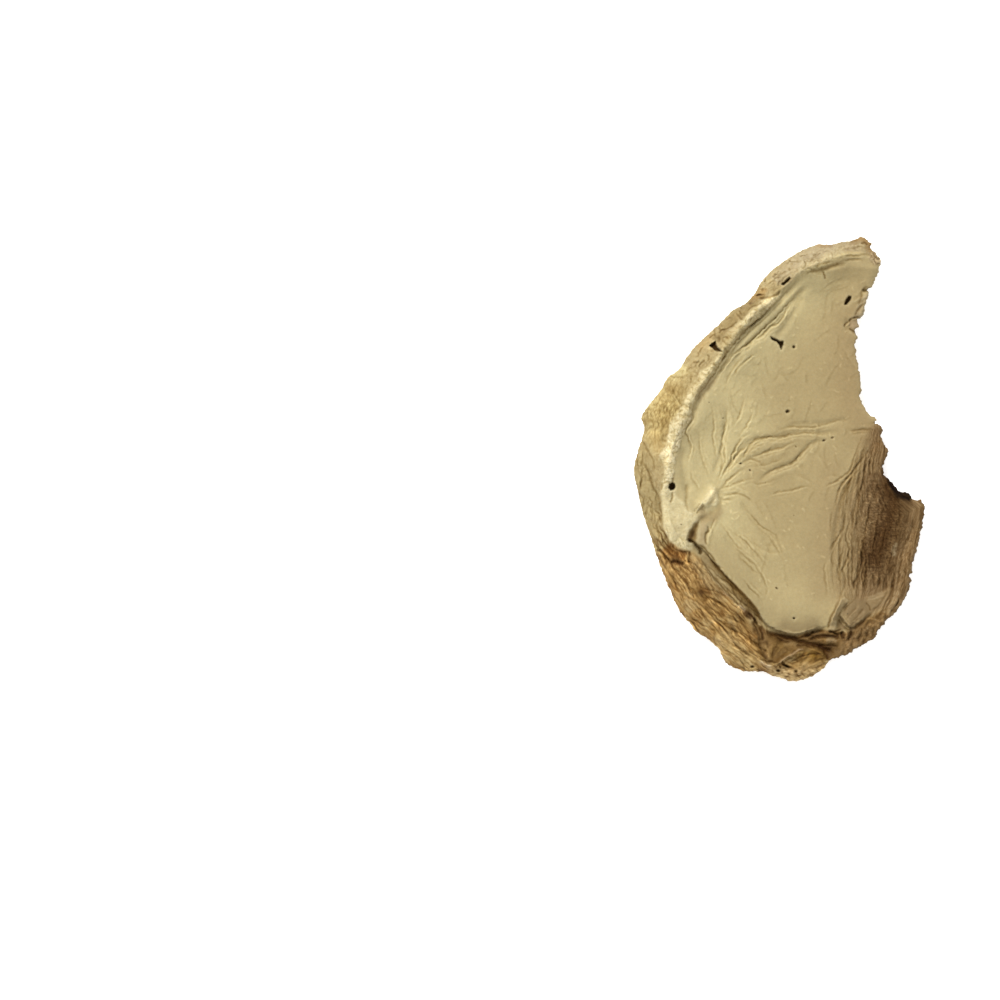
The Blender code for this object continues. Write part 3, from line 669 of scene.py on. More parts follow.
def work_crest(flesh):
    """The cut rim of the flesh: chalky and crumbly along the left, a broad soft roll at the top."""
    at = flesh.at
    crumbly = flesh.patch(CREST_AREA, 1.6, uneven=1.8, seed=8)
    pale = flesh.patch(PALE_AREA, 2.4, uneven=1.5, seed=4)
    lumps = rough_noise(at, 9, 41, 3)
    crumbs, gaps = cracked(at, 5.2, 42, 0.13)
    halo = flesh.patch(CREST_AREA, 5, uneven=4, seed=14)
    flesh.tint(halo * ease(0.5 + 1.2 * rough_noise(at, 6, 68, 3)), PALE, 0.55)
    upper = ease((GREY_ABOVE - at[:, 1]) / 50)
    flesh.tint(crumbly, PALE, 0.95)
    flesh.tint(crumbly * upper * ease(0.7 + 1.5 * rough_noise(at, 9, 86, 3)), pigment(200, 180, 132), 0.8)
    flesh.fibre *= 1 - np.clip(halo + pale, 0, 1)
    flesh.tint(crumbly * ease(lumps * 2 + 0.5), CHALK, 0.6)
    ridged = ease((at[:, 1] - RIDGED_FROM) / 30) * ease((RIDGED_TO - at[:, 1]) / 20)
    rim = np.clip(crumbly + 0.6 * halo, 0, 1)
    # Painted shade where the crest's slope faces the lamp
    flesh.shade(rim * ridged, 0.92)
    flesh.shade_lines([
        (8, 0.15, 0.66, [(741, 325), (735, 331), (728, 340), (719, 353)]),
        (8, 0.1, 0.9, [(762, 305), (754, 311), (747, 318)]),
        (5, 0.1, 1.2, [(670, 440), (667, 452), (667, 466)]),
        (6, 0.1, 1.4, [(777, 297), (769, 302), (761, 307)]),
        (6, 0.1, 1.12, [(691, 402), (688, 408), (681, 420)]),
        (6, 0.1, 0.88, [(703, 380), (697, 388), (692, 396)]),
    ], rim)
    flesh.tint(pale, PALE, 0.9)
    rubble = np.clip(crumbly - 0.8 * pale, 0, 1)
    shelf = flesh.line(beside(CHANNEL[:11], -3.6), 3.6, ends=0.1, uneven=0.4)
    flesh.tint(shelf, CREAM, 0.4)
    # A painted shadow on the slope right of the crest
    flesh.tint_lines([
        (4, 0.2, 0.5, pigment(158, 136, 96), 0.6, [(715, 377), (708, 385), (700, 394), (694, 404)]),
    ])
    flesh.rise += 0.14 * shelf
    ribs = noise(flesh.flow(CREST) * [1, 0.35], 3.4, 89)
    flesh.rise += rubble * (0.02 + 0.2 * lumps + 0.1 * crumbs + 0.1 * ribs * ridged) + pale * 0.06 * lumps
    # Painted shade in the rubble's hollows and gaps, and painted light on its lumps
    flesh.shade(rubble * ridged * np.clip(-ribs * 1.5, 0, 1), 0.8)
    flesh.shade(rubble * np.clip(lumps, 0, 1), 1.12)
    flesh.shade(rubble * gaps, 0.9)
    flesh.shade(rubble * np.clip(-lumps * 1.4, 0, 1), 0.86)

    roll = flesh.line(CREST[2:8], 7, ends=0.1, uneven=0.4)
    flesh.rise += roll * (0.04 + 0.12 * lumps + 0.04 * crumbs)
    flesh.tint(roll, CREAM, 0.3)
    # Painted shade in the roll's gaps
    flesh.shade(roll * gaps, 0.88)
    # The roll's lower slope is painted lighter: painted light where it faces away from the lamp
    slope = [(822, 270), (836, 262), (852, 258), (868, 258), (881, 262), (879, 270), (862, 268), (845, 268),
             (830, 273)]
    flesh.tint(flesh.patch(slope, 3, uneven=2, seed=9), pigment(210, 188, 138), 0.85)
    flesh.shade_lines([(6, 0.1, 0.88, [(836, 250), (850, 245), (868, 247)])])
    flesh.folds([
        [(868, 252), (860, 248.5), (852, 249), (845, 250), (839, 253)],
        [(874, 259), (864, 256), (856, 257), (845, 257), (834, 260)],
        [(864, 262), (852, 260.5), (842, 262), (836, 265)],
        [(879, 263), (874, 259), (870, 253)],
    ], 0.09, 2.6, 0.08, dark=0.78, light=1.1, ends=0.35)
    torn_tip = [(867, 252), (872, 252), (882, 262), (880, 268), (871, 266), (867, 259)]
    torn_tip = flesh.patch(torn_tip, 2, uneven=1.5)
    flesh.tint(torn_tip, pigment(184, 160, 122), 0.7)
    flesh.wrinkle(torn_tip, grain(at, 50, 1.5), [(4.5, 0.2, 57), (2.4, 0.1, 58)], FOOT_BROWN)
    flesh.tint_lines([
        (3.8, 0, 0.6, pigment(156, 124, 78), 0.9, [(854, 241), (861, 240), (867, 244.5), (869, 250)]),
        (2.4, 0, 0.4, pigment(176, 148, 106), 0.8, [(816, 246), (822, 246), (829, 247)]),
    ])
    layers = [(868, 290), (872, 300), (868, 318), (856, 322), (851, 318), (856, 309), (858, 300)]
    layers = flesh.patch(layers, 2, uneven=2)
    flesh.tint(layers, pigment(158, 141, 108), 0.8)
    flesh.wrinkle(layers, grain(at, 110, 1.6), [(6, 0.16, 67), (3, 0.08, 69)], DUN, light=1.2)
    flesh.rough += 0.6 * np.clip(crumbly + roll, 0, 1)


# Folds: lift in mm, reach in pixels, depth of the groove in mm, line. The lip is on the line's right.
# A row's number here and in the next two tables is the seed of its unevenness
FOLDS = [
    # Beside the crest
    (0.1, 5, 0.22, CHANNEL),
    (0.24, 6, 0.14, [(708, 391), (715, 380), (723, 367), (733, 355), (744, 346.5), (757, 334.5),
     (772, 320.5), (788, 303), (797, 293.5), (807, 281)]),
    (0.16, 5, 0.1, [(729, 367), (740, 352), (752, 341.5), (762, 335), (769, 328), (776, 325), (782, 317.5),
     (787, 307), (796, 297), (807, 287)]),
    (0.1, 6, 0.07, [(731.5, 381), (734, 373), (741, 364.5), (752, 356), (762, 350)]),
    (0.09, 5, 0.06, [(722, 390), (728, 376), (738, 362), (748, 352)]),
    (0.12, 3, 0.08, [(736, 338), (746, 329), (757, 320.5), (768, 310.5)]),
    # Down the face's left side
    (0.14, 6, 0.09, [(686, 469), (687.5, 459), (689.5, 448.5), (688, 441), (684.5, 431), (690.5, 421),
     (692, 412), (690.5, 405)]),
    (0.07, 6, 0.04, [(716, 470), (714.5, 454), (712, 438), (713, 425), (711, 411), (709, 399)]),
    (0.05, 7, 0.02, [(710, 482), (703, 465), (699, 450), (698, 436), (700, 425)]),
    (0.06, 5, 0.03, [(700, 493), (692, 480), (689, 468)]),
    # From the knob up and across the face
    (0.15, 6, 0.08, [(713, 485), (719, 474), (721, 462), (720, 450), (723, 434), (724.5, 426),
     (725.5, 415), (728, 402)]),
    (0.1, 3, 0.08, [(715.5, 484), (719.5, 473), (723.5, 462), (724, 450), (722, 441)]),
    (0.2, 6, 0.12, [(716.5, 487), (720.5, 478.5), (725, 470), (729.5, 462), (732, 454), (736, 446),
     (741, 439), (748, 434), (754, 431)]),
    (0.16, 5, 0.1, [(722, 477), (728, 468), (733, 460), (738, 453), (746, 446), (755, 441)]),
    (0.1, 5, 0.06, [(741, 460), (747, 451), (754, 444), (763, 440), (774, 438)]),
    (0.06, 6, 0.0, [(739, 470), (750, 466), (764, 465), (778, 460), (788, 452)]),
    (0.05, 6, 0.02, [(746, 482), (758, 484), (770, 481), (784, 476)]),
    (0.06, 3, 0.05, [(719, 493), (726, 495), (733, 494), (741, 491)]),
    (0.05, 3, 0.04, [(718, 498), (726, 500), (735, 499)]),
    (0.05, 3, 0.05, [(718, 490), (724, 487), (731, 486)]),
    (0.24, 8, 0.13, [(722, 478.5), (728, 471.5), (736, 463), (743, 456), (747, 448.5), (754, 441),
     (762, 438), (774, 437.5), (783, 437), (790, 434.5), (800, 433.5), (811, 433.5), (824, 434.5),
     (835, 433)]),
    (0.08, 3, 0.05, [(740, 460), (747, 453.5), (755, 447), (764, 443.5)]),
    (0.13, 6, 0.06, [(770, 436), (777, 431), (786.5, 427.5), (800, 427), (812, 427), (823, 425),
     (836, 421), (852, 421)]),
    (0.12, 3, 0.07, [(741, 463.5), (749, 459.5), (756, 461), (763, 467)]),
    (0.15, 6, 0.08, [(743, 459), (754, 456), (763, 453), (771, 450), (779, 448.5), (788, 444.5),
     (799, 439)]),
    (0.24, 8, 0.12, [(757, 483), (762, 477), (769, 472), (777, 468.5), (785, 466), (793, 462.5),
     (799, 456), (805, 449), (811, 443.5), (819, 440)]),
    (0.15, 5, 0.1, [(716, 493), (722, 486.5), (728, 480), (737, 472), (746, 467)]),
    (0.08, 6, 0.04, [(722, 492), (733, 484), (745, 480), (756, 478)]),
    (0.1, 5, 0.05, [(764, 497), (774, 493), (783, 491.5), (792, 489.5), (803, 487), (816, 487.5)]),
    (0.09, 7, 0.04, [(728, 430), (736, 420), (741, 408), (744, 396)]),
    (0.09, 7, 0.04, [(734, 441), (742, 431), (749, 419), (754, 408)]),
    (0.06, 6, 0.04, [(755, 505), (746, 497), (735, 493), (724, 494)]),
    (0.16, 5, 0.09, [(846, 431.5), (858, 430), (873, 429)]),
    # The lower face
    (-0.05, 3, 0.05, [(738, 501), (750, 515), (763, 528), (774, 535), (779.6, 547.6), (781.7, 561.6)]),
    (0.04, 4, 0.02, [(782, 560), (776, 549), (771, 540), (760, 531)]),
    (0.06, 5, 0.04, [(770, 568.6), (761.4, 560), (753, 550), (746, 542), (736, 535), (722, 524)]),
    (0.07, 5, 0.04, [(762.8, 603.6), (765.6, 589.6), (762.8, 578.4), (755.8, 567.2), (746, 557.4),
     (736, 549), (726.4, 537.8)]),
    (0.06, 4, 0.05, [(761.4, 603.6), (758.6, 596.6), (748.8, 586.8), (739, 575.6)]),
    (0.05, 4, 0.03, [(752, 560), (741, 550), (731, 539), (724, 529), (716, 520)]),
    (0.05, 3, 0.03, [(760, 575), (751, 568), (742, 560), (734, 553)]),
    (0.12, 6, 0.05, [(700, 541), (706, 533), (712, 524), (716, 513)]),
    # The brown band, then its margin
    (0.13, 5, 0.14, [(831, 518), (834.5, 504), (836.5, 495), (842, 483), (852, 472), (859, 462),
     (866, 453), (872, 445), (878, 437)]),
    (0.12, 4, 0.1, [(820, 488.5), (827, 485), (834.5, 482), (846.5, 473), (852, 464), (856, 456)]),
    (0.08, 4, 0.1, [(873, 478), (868.5, 471), (869.5, 456.5), (873, 446.5), (877.5, 437)]),
    (0.1, 4, 0.11, [(828, 562), (829, 553), (834, 542), (841, 531), (844, 518), (845.5, 505)]),
    (0.12, 4, 0.13, [(841, 589), (837.5, 576), (838.5, 564), (842, 552), (843, 534)]),
    (0.16, 4, 0.18, [(834.5, 608), (840, 595), (844.5, 582), (842, 570), (846.5, 558.5), (848.5, 549),
     (845, 537), (849, 522), (853, 505)]),
    (0.14, 4, 0.18, [(849, 598), (853, 585), (857.5, 575), (860, 567), (862, 558), (859, 545), (860, 530)]),
    (0.08, 3, 0.11, [(858.5, 504), (858.7, 492), (862, 482), (863, 470)]),
    (0.08, 3, 0.1, [(861, 526), (864, 517), (866.5, 504)]),
    (0.08, 3, 0.1, [(856.5, 562), (858, 547.5), (856.5, 531)]),
    (0.09, 3, 0.13, [(875, 592), (873, 582), (872, 568)]),
    (0.08, 3, 0.12, [(878.5, 591), (880, 576)]),
    (0.08, 3, 0.12, [(885, 592), (886.5, 579)]),
    (0.08, 5, 0.03, [(826, 600), (825, 586), (823.5, 570), (825, 556)]),
    (0.14, 4, 0.12, [(886, 602), (892, 588.5), (897.5, 577), (899.5, 564), (902, 548.5), (909.5, 533),
     (914, 518), (916, 505)]),
    (0.12, 4, 0.1, [(893, 603), (899, 590), (903, 576), (905, 562), (909, 546), (914, 530), (918, 512)]),
    # The pleats, and the flap below the band
    (0.24, 5, 0.14, [(828, 631), (827.5, 624), (831, 614), (836.5, 602), (840, 591)]),
    (0.1, 3, 0.05, [(832, 627), (836, 617), (842, 607), (848, 599)]),
    (0.2, 10, 0.2, [(872, 609.5), (866, 615.5), (860.5, 620.8), (856, 624.6), (851.6, 628.3),
     (850.4, 628.4), (846.5, 626), (843, 622.4), (839.8, 618.8), (838.2, 615.9), (838.6, 614.6),
     (841, 611.5), (844.5, 608)]),
    (0.16, 6, 0.07, [(862, 600), (868, 597.5), (878, 595), (889, 589)]),
    # The neck, the wide skin and the foot
    (0.16, 3, 0.14, [(695, 556), (699, 562), (703.5, 569.5)]),
    (0.14, 3, 0.14, [(692, 565), (695, 571), (699, 574.5), (703, 576)]),
    (0.14, 3, 0.16, [(691, 573), (695, 577.5), (699, 579.5), (704, 579)]),
    (0.16, 4, 0.2, [(694, 596), (710, 598.5), (724, 607), (739, 619), (750, 628)]),
    (0.18, 5, 0.22, [(688.5, 604.5), (709.5, 613), (728.5, 628), (745.5, 636.5), (760, 653)]),
    (0.16, 4, 0.2, [(682, 613), (701, 623.5), (716, 632), (724.5, 634)]),
    (0.16, 4, 0.2, [(720, 638), (733, 645), (745.5, 653), (758, 661.5)]),
    (0.14, 4, 0.18, [(692.7, 579), (703, 588), (718, 592), (728.6, 600.5), (741, 609)]),
    (0.2, 4, 0.15, [(760, 645), (757, 630), (749, 618)]),
    (-0.05, 3, 0.05, [(767, 664), (757, 655.5), (747, 646.5), (740, 641)]),
]

# Cuts and ridges: rise in mm (negative cuts), half width in pixels, darkening (over 1 lightens), line
# A cut's darkening is mostly painted shade in it, partly the dark colour of a crack, and a ridge's lightening
# is a painted highlight
MARKS = [
    # The shadow under the top rim, and the notch in the torn edge
    (-0.12, 2.4, 0.84, [(806, 272.5), (815, 273), (823, 270), (833, 266.5), (845, 265)]),
    (-0.3, 1.2, 0.62, [(871, 289), (866, 290.8), (861, 291.8)]),
    # The crevice, the plate and ridges above it, and the knob
    (-0.4, 1.5, 0.32, [(686.4, 539), (693.3, 542.7), (697, 547), (699.8, 551), (698.5, 555)]),
    (-0.15, 1.0, 0.5, [(697.5, 544.5), (703, 547.5), (706.5, 551.7), (711, 556.5), (716, 562)]),
    (-0.12, 1.0, 0.66, [(706.5, 524.5), (707, 530), (704.7, 534), (704.7, 540), (706, 545.5)]),
    (0.1, 1.2, 1.12, [(709, 527), (709.5, 533), (707.5, 538), (708, 545)]),
    (-0.08, 0.8, 0.8, [(699, 503), (696, 508), (693, 512.5)]),
    (0.1, 0.9, 1.15, [(701, 502), (697.5, 507.5), (694, 512)]),
    (-0.06, 0.9, 0.82, [(704, 504), (699.5, 509), (695, 514)]),
    (-0.1, 2.0, 0.82, [(686, 483), (685.5, 495), (685.4, 506), (688, 512.5)]),
    (-0.04, 2.2, 0.94, [(718.5, 494), (720, 500), (718.5, 506), (713, 511.5), (706, 514)]),
    (0.05, 3.0, 1.18, [(709, 490), (713, 496), (714, 503)]),
    (0.16, 2.4, 1.15, [(713.5, 490), (715.5, 496), (715, 502), (711.5, 507)]),
    (0.25, 3.0, 1.22, [(713, 488.5), (711.5, 495), (707.5, 501), (702, 507)]),
    (-0.03, 0.8, 0.94, [(712.5, 490), (711, 498), (707, 505)]),
    # The channel beside the crest, lightened as painted light; the wall's edge and foot, darkened as painted
    # shade; and the face's low rim, with a painted highlight on it and a painted shadow under it
    (0.12, 3.2, 1.16, [(691, 414), (697, 401), (706, 387), (716, 371), (727, 354), (738, 340)]),
    (-0.08, 1.0, 0.42, [(701, 548), (712, 561.5), (723.5, 574.5), (736.5, 587.5), (749, 600.5),
     (757.5, 610.5)]),
    (-0.25, 1.8, 0.4, [(752, 618), (758, 627), (762, 634), (761, 642)]),
    (0.14, 1.5, 1.15, [(780, 630.5), (790, 632.5), (800, 632.5), (812, 629), (826, 625)]),
    (-0.3, 1.6, 0.42, [(764, 629), (774, 634), (786, 636.5), (797, 637.5), (808, 634.5), (818, 631),
     (828, 630)]),
    # The foot: its ridges, gaps and rays
    (0.14, 1.1, 1.5, [(788, 640), (797, 637), (806, 635)]),
    (0.22, 1.0, 1.1, [(769, 666), (776, 662.5), (783, 658), (790.5, 653.6), (797, 650), (804, 648)]),
    (-0.14, 1.0, 0.6, [(773, 667), (779, 663.6), (786, 659.4), (793, 656)]),
    (0.14, 0.9, 1.25, [(787, 656), (793, 653.5), (799, 652.2), (804, 651.5)]),
    (0.24, 1.2, 1.1, [(756, 656), (760, 661), (766, 665), (772, 664.5)]),
    (-0.16, 2.0, 0.75, [(756, 648), (763, 658), (770, 661.5), (777, 658), (787, 651)]),
    (-0.35, 1.3, 0.35, [(780, 660.5), (784, 663.5)]),
    (-0.3, 1.1, 0.4, [(777.5, 665.5), (780, 667)]),
    (-0.2, 1.3, 0.5, [(822, 650), (826, 655), (827, 660)]),
    (-0.12, 1.3, 0.6, [(766.5, 661), (762, 655), (757.5, 648), (752, 638)]),
    (-0.08, 0.9, 0.75, [(767.5, 660), (764.5, 655), (761.5, 650), (758, 641)]),
    (-0.08, 0.9, 0.75, [(770.6, 661), (772, 654), (773.2, 648), (779, 646.5)]),
    (0.08, 1.4, 1.25, [(768.5, 660), (767, 652), (764, 644)]),
    (-0.08, 4.0, 0.7, [(768, 635), (776, 639), (785, 641)]),
    # The foot: its valley, lumps and cracks
    (-0.4, 2.2, 0.36, [(778, 636.5), (789.5, 637.5), (801, 641.5), (812, 644.5), (822, 647.5), (830, 651),
     (834, 651)]),
    (-0.3, 1.5, 0.42, [(806, 640), (814, 638), (824, 636.3), (834, 637), (840, 639)]),
    (0.3, 2.2, 1.5, [(822, 640.5), (830, 640), (838, 642)]),
    (-0.2, 1.2, 0.6, [(818, 645), (828, 645), (838, 646)]),
    (-0.3, 1.1, 0.4, [(840.5, 631), (841, 635), (842.6, 638.5)]),
    (-0.2, 1.0, 0.5, [(828, 631), (834, 633.5), (838, 636.5)]),
    (0.2, 1.2, 1.35, [(845, 630.5), (845.6, 635), (844.5, 640)]),
    (-0.2, 1.0, 0.55, [(776, 637), (783, 641), (790, 642)]),
    (-0.16, 1.0, 0.6, [(795, 646), (803, 645), (812, 648)]),
    (0.16, 1.4, 1.4, [(806, 647.5), (815, 650), (824, 654)]),
    # The right pleat, the flap and the pale torn layers beside them
    (-0.05, 0.8, 0.86, [(842, 611), (847.9, 605), (851.8, 601), (855, 597)]),
    (0.06, 1.6, 1.2, [(840, 613.5), (841.2, 617.5), (846.8, 623.5), (851, 626.5)]),
    (-0.05, 0.8, 0.88, [(844, 619.5), (849.5, 613.5), (856, 606)]),
    (-0.05, 0.8, 0.86, [(849, 623.5), (855, 617), (860.5, 611), (863, 606.5)]),
    (0.05, 1.1, 1.12, [(847, 617), (853, 611.5), (859, 604)]),
    (0.05, 1.0, 1.1, [(854, 623), (860, 616.5), (865.5, 610)]),
    (-0.04, 1.4, 0.88, [(857, 614), (862, 608.5)]),
    (-0.08, 1.0, 0.75, [(869, 611), (868, 606), (864.5, 602.5)]),
    (-0.1, 0.9, 0.5, [(837, 618), (841, 623.5), (846, 628.5), (851, 630.5)]),
    (-0.1, 1.1, 0.5, [(851, 630.5), (855.5, 627.2), (860.8, 622.6), (866, 617.4), (871, 612)]),
    (-0.08, 1.0, 0.78, [(871, 611), (878, 603.5), (884, 595), (887, 589)]),
    (0.1, 1.3, 1.3, [(864, 619.5), (871, 618.5), (878, 621), (884, 620.5)]),
    (0.08, 1.1, 1.2, [(866, 624), (873, 625.5), (879, 624)]),
    (0.08, 1.3, 1.16, [(863, 597.5), (870, 596.5), (878, 594.5), (887, 589.5)]),
    # The lit side of the channel, and the wall's pit, with painted highlights on its rim and painted shade in
    # its split
    (0.2, 5, 1.0, [(783, 291), (772, 300), (761, 308.5), (750, 318), (738, 329), (729, 341)]),
    (0.14, 1.1, 1.9, [(737, 605.5), (740.5, 609), (744.5, 612.5)]),
    (-0.12, 1.0, 0.55, [(746, 612), (751, 616), (755.5, 621.5)]),
    (0.12, 1.0, 1.5, [(739.5, 610.5), (742.5, 613.5), (745.5, 615)]),
    # The left pleat, the lower right corner and the dark folds above it
    (-0.12, 1.0, 0.6, [(838.5, 600.5), (831.8, 614), (828, 622.5), (826.8, 630)]),
    (-0.16, 1.0, 0.5, [(827.5, 630), (830.5, 632.3), (836, 630.6), (842, 628.8)]),
    (-0.12, 1.0, 0.72, [(861, 627), (859.5, 634), (857, 641)]),
    (-0.12, 1.0, 0.75, [(867, 631), (865, 638), (861, 645)]),
    (-0.12, 1.0, 0.72, [(872, 627), (872.5, 632), (870, 639)]),
    (0.1, 1.3, 1.2, [(856, 629), (854, 638), (852, 647)]),
    (0.1, 1.1, 1.2, [(864, 628), (862.5, 635), (860, 642)]),
    (0.12, 1.6, 1.25, [(846, 642), (849, 648), (851, 655)]),
    (-0.3, 1.6, 0.4, [(849, 630), (849.5, 634), (847, 641)]),
    (-0.2, 1.4, 0.45, [(832, 633), (838, 634), (844, 631)]),
    # The neck
    (-0.25, 1.3, 0.38, [(669, 562.5), (673, 560.8), (678, 562.3), (684, 565)]),
    (-0.2, 1.2, 0.45, [(658, 548), (665, 556), (670, 560.5)]),
    (-0.2, 1.0, 0.5, [(688.4, 550), (688, 557), (688.7, 563)]),
    (-0.15, 1.1, 0.55, [(670, 545), (677, 550), (684, 551.7), (688, 551)]),
    (-0.2, 1.1, 0.5, [(655, 536), (662, 545), (669, 553), (675, 557)]),
    (-0.15, 1.0, 0.6, [(662, 538), (667, 546), (674, 552.5)]),
    (-0.15, 1.0, 0.6, [(650, 536), (656, 545), (661, 552)]),
    (0.16, 1.3, 1.4, [(659, 546), (663.5, 551.5), (667, 556)]),
    (0.16, 1.2, 1.4, [(686, 553), (686.3, 559), (687, 566)]),
    (0.2, 2.2, 1.5, [(677, 555.5), (681, 558), (684, 561)]),
    # Seams and cracks of the skin
    (-0.08, 3.0, 0.55, [(699, 589), (703, 594), (706, 601)]),
    (-0.1, 1.1, 0.78, [(640, 438), (646, 448.5), (652.5, 461), (653, 474)]),
    (-0.12, 1.2, 0.72, [(640, 459), (647.5, 471), (652.5, 488), (656.5, 494.5), (660, 509), (662, 520)]),
    (-0.1, 1.0, 0.72, [(671, 386.5), (674.8, 397), (681, 406.4)]),
    (-0.08, 0.9, 0.75, [(669.4, 376.5), (674.8, 377.7), (683.2, 378)]),
    (-0.08, 0.9, 0.6, [(716, 330.5), (725.3, 329.8), (733.7, 324), (738, 321)]),
    (-0.1, 1.0, 0.55, [(708, 339.5), (711, 336.5), (714.6, 335)]),
    (-0.08, 0.9, 0.66, [(722, 344), (721.5, 339.5), (725, 338.5), (726.5, 341)]),
    (-0.08, 0.9, 0.62, [(745, 314), (750, 308), (757, 306), (763, 301)]),
    (-0.06, 0.9, 0.72, [(772, 281), (778, 276), (786, 272)]),
    # Round the round hole, then along the rim
    (-0.08, 1.0, 0.6, [(669, 484), (666, 481.5), (661.5, 484), (660.5, 491)]),
    (-0.08, 1.0, 0.62, [(671, 491), (671.5, 497), (669, 504)]),
    (-0.08, 1.0, 0.6, [(671, 483), (671.5, 477)]),
    (-0.14, 1.4, 0.5, [(780, 292), (773, 297), (765, 299), (757, 299)]),
    (-0.1, 0.9, 0.55, [(820.5, 272), (822, 276), (824, 280.5)]),
    # The cavity and the torn layers above it
    (-0.2, 1.1, 0.5, [(858, 318.5), (852.6, 318.5), (848.8, 320.2), (847.6, 323.5)]),
    (-0.12, 0.9, 0.6, [(842.6, 328), (844, 325), (847.3, 322.4)]),
    (0.14, 1.0, 1.2, [(845, 327.5), (846.5, 325), (848, 325.5)]),
    (-0.2, 1.1, 0.45, [(847.3, 328.5), (852, 331.5), (857, 335.5)]),
    (-0.14, 1.0, 0.6, [(863.5, 303.5), (858.5, 308.5), (855.6, 312), (853.5, 317)]),
    (0.1, 2.2, 1.08, [(867, 293), (863.5, 300), (861, 309), (858.5, 317)]),
    (0.08, 1.4, 1.05, [(851, 304), (857, 300), (864, 298)]),
    (0.14, 2.2, 1.14, [(866, 292), (864, 298), (865.5, 304)]),
    (0.12, 2.0, 1.12, [(862, 308), (859, 313), (859, 318)]),
    (-0.1, 1.0, 0.76, [(867, 287), (861.5, 291), (859.5, 299), (856.5, 306)]),
    # The tip and the roll along the top, with painted highlights on the roll's lumps, painted shade in its
    # gaps and a painted shadow under it
    (0.1, 2.2, 0.8, [(818, 246), (823, 244.5), (828, 246)]),
    (-0.14, 1.2, 0.6, [(859, 246), (863, 244), (866, 247)]),
    (0.16, 2.4, 1.15, [(806, 269.5), (811, 265.5), (816, 262)]),
    (0.14, 2.2, 1.14, [(819, 262.5), (824, 258.5), (830, 257)]),
    (-0.12, 1.2, 0.72, [(813, 270), (817, 266.5), (823, 265), (829, 263)]),
    (-0.08, 1.1, 0.8, [(808, 262), (813, 258), (820, 254)]),
    (-0.1, 1.8, 0.74, [(801, 276.5), (809, 273), (820, 270.5), (832, 267), (840, 263)]),
    # The band's top edge and its dark margin
    (-0.06, 2.2, 0.8, [(849, 432), (860, 431.5), (872, 430)]),
    (-0.06, 1.2, 0.6, [(919, 503), (919, 518), (915, 535), (911, 550)]),
]

# Lines of colour: half width in pixels, colour, amount, line
STREAKS = [
    # Some streaks are painted light and shade, each marked as such; the others are the flake's colour
    (0.9, pigment(182, 152, 112), 0.8, [(776, 662), (783, 658), (790.5, 653.6), (797, 650), (804, 648)]),
    (1.2, pigment(214, 190, 150), 0.8, [(758, 660), (762, 662.5), (766, 665), (771, 665)]),
    # A painted highlight on the wall pit's rim
    (1.1, pigment(224, 200, 160), 0.8, [(737, 604), (741, 607.5), (745, 611)]),
    (1.0, pigment(214, 186, 142), 0.7, [(721, 591), (727, 596)]),
    # Painted light on the knob's right slope
    (2.4, PALE, 0.6, [(713, 489), (715, 496), (714, 503), (709, 507)]),
    # Painted shade in the foot's valley
    (3.0, pigment(72, 45, 18), 0.6, [(763, 629.7), (776, 635.6), (789, 638.8), (802, 642), (812.4, 644),
     (822.8, 648), (831, 652)]),
    # Painted shade at the valley's deepest stretch
    (3.6, pigment(58, 32, 12), 0.7, [(815, 643), (824, 647.5), (832, 650)]),
    (1.2, UMBER, 0.75, [(802, 634.5), (812.4, 635.6), (822.8, 635), (833, 636.2), (840, 636.2)]),
    (2.4, pigment(142, 120, 84), 0.7, [(805, 630), (812, 631), (819, 630.5)]),
    (2.0, pigment(160, 136, 98), 0.75, [(824, 640), (831, 639.5), (837, 641)]),
    (1.2, UMBER, 0.7, [(841, 629.5), (842.5, 634), (843.6, 638.8)]),
    (1.2, UMBER, 0.7, [(848.8, 627), (850.2, 631), (849.5, 636)]),
    (1.2, pigment(84, 58, 26), 0.7, [(766.5, 661), (762, 653), (758, 646)]),
    (1.0, pigment(164, 134, 84), 0.6, [(769, 660), (767.5, 652), (764, 644)]),
    (1.1, pigment(90, 64, 30), 0.6, [(772, 660), (774, 652), (779, 646)]),
    (2.4, pigment(100, 74, 38), 0.5, [(776, 656), (784, 650), (792, 646.5)]),
    (1.8, pigment(148, 120, 76), 0.5, [(782, 645), (790, 643.5), (798, 645)]),
    (3.0, pigment(92, 62, 24), 0.6, [(812, 652), (819, 654), (825, 658)]),
    # Painted light on the bulge's lower flank
    (3.0, pigment(186, 152, 98), 0.75, [(800, 661), (808, 665), (816, 665), (822, 661)]),
    (1.6, pigment(84, 54, 22), 0.7, [(823, 650), (827, 655), (826, 661)]),
    # Painted light on the right pleat's lower left lip
    (2.6, pigment(170, 147, 104), 0.7, [(842, 613), (843, 617), (847, 622)]),
    # Painted light on the left pleat's strip
    (2.4, pigment(180, 158, 116), 0.75, [(831.5, 626), (835, 615), (841.5, 602)]),
    # Painted shade between the two pleats
    (2.0, pigment(146, 122, 84), 0.6, [(837.5, 621), (842, 625), (846, 628)]),
    (3.2, UMBER, 0.65, [(669, 562), (675, 560.5), (683, 564)]),
    (7.5, pigment(164, 140, 97), 0.6, [(692, 556), (704, 575), (722, 597)]),
    (2.2, pigment(160, 138, 102), 0.6, [(866, 598), (874, 596), (883, 591)]),
]

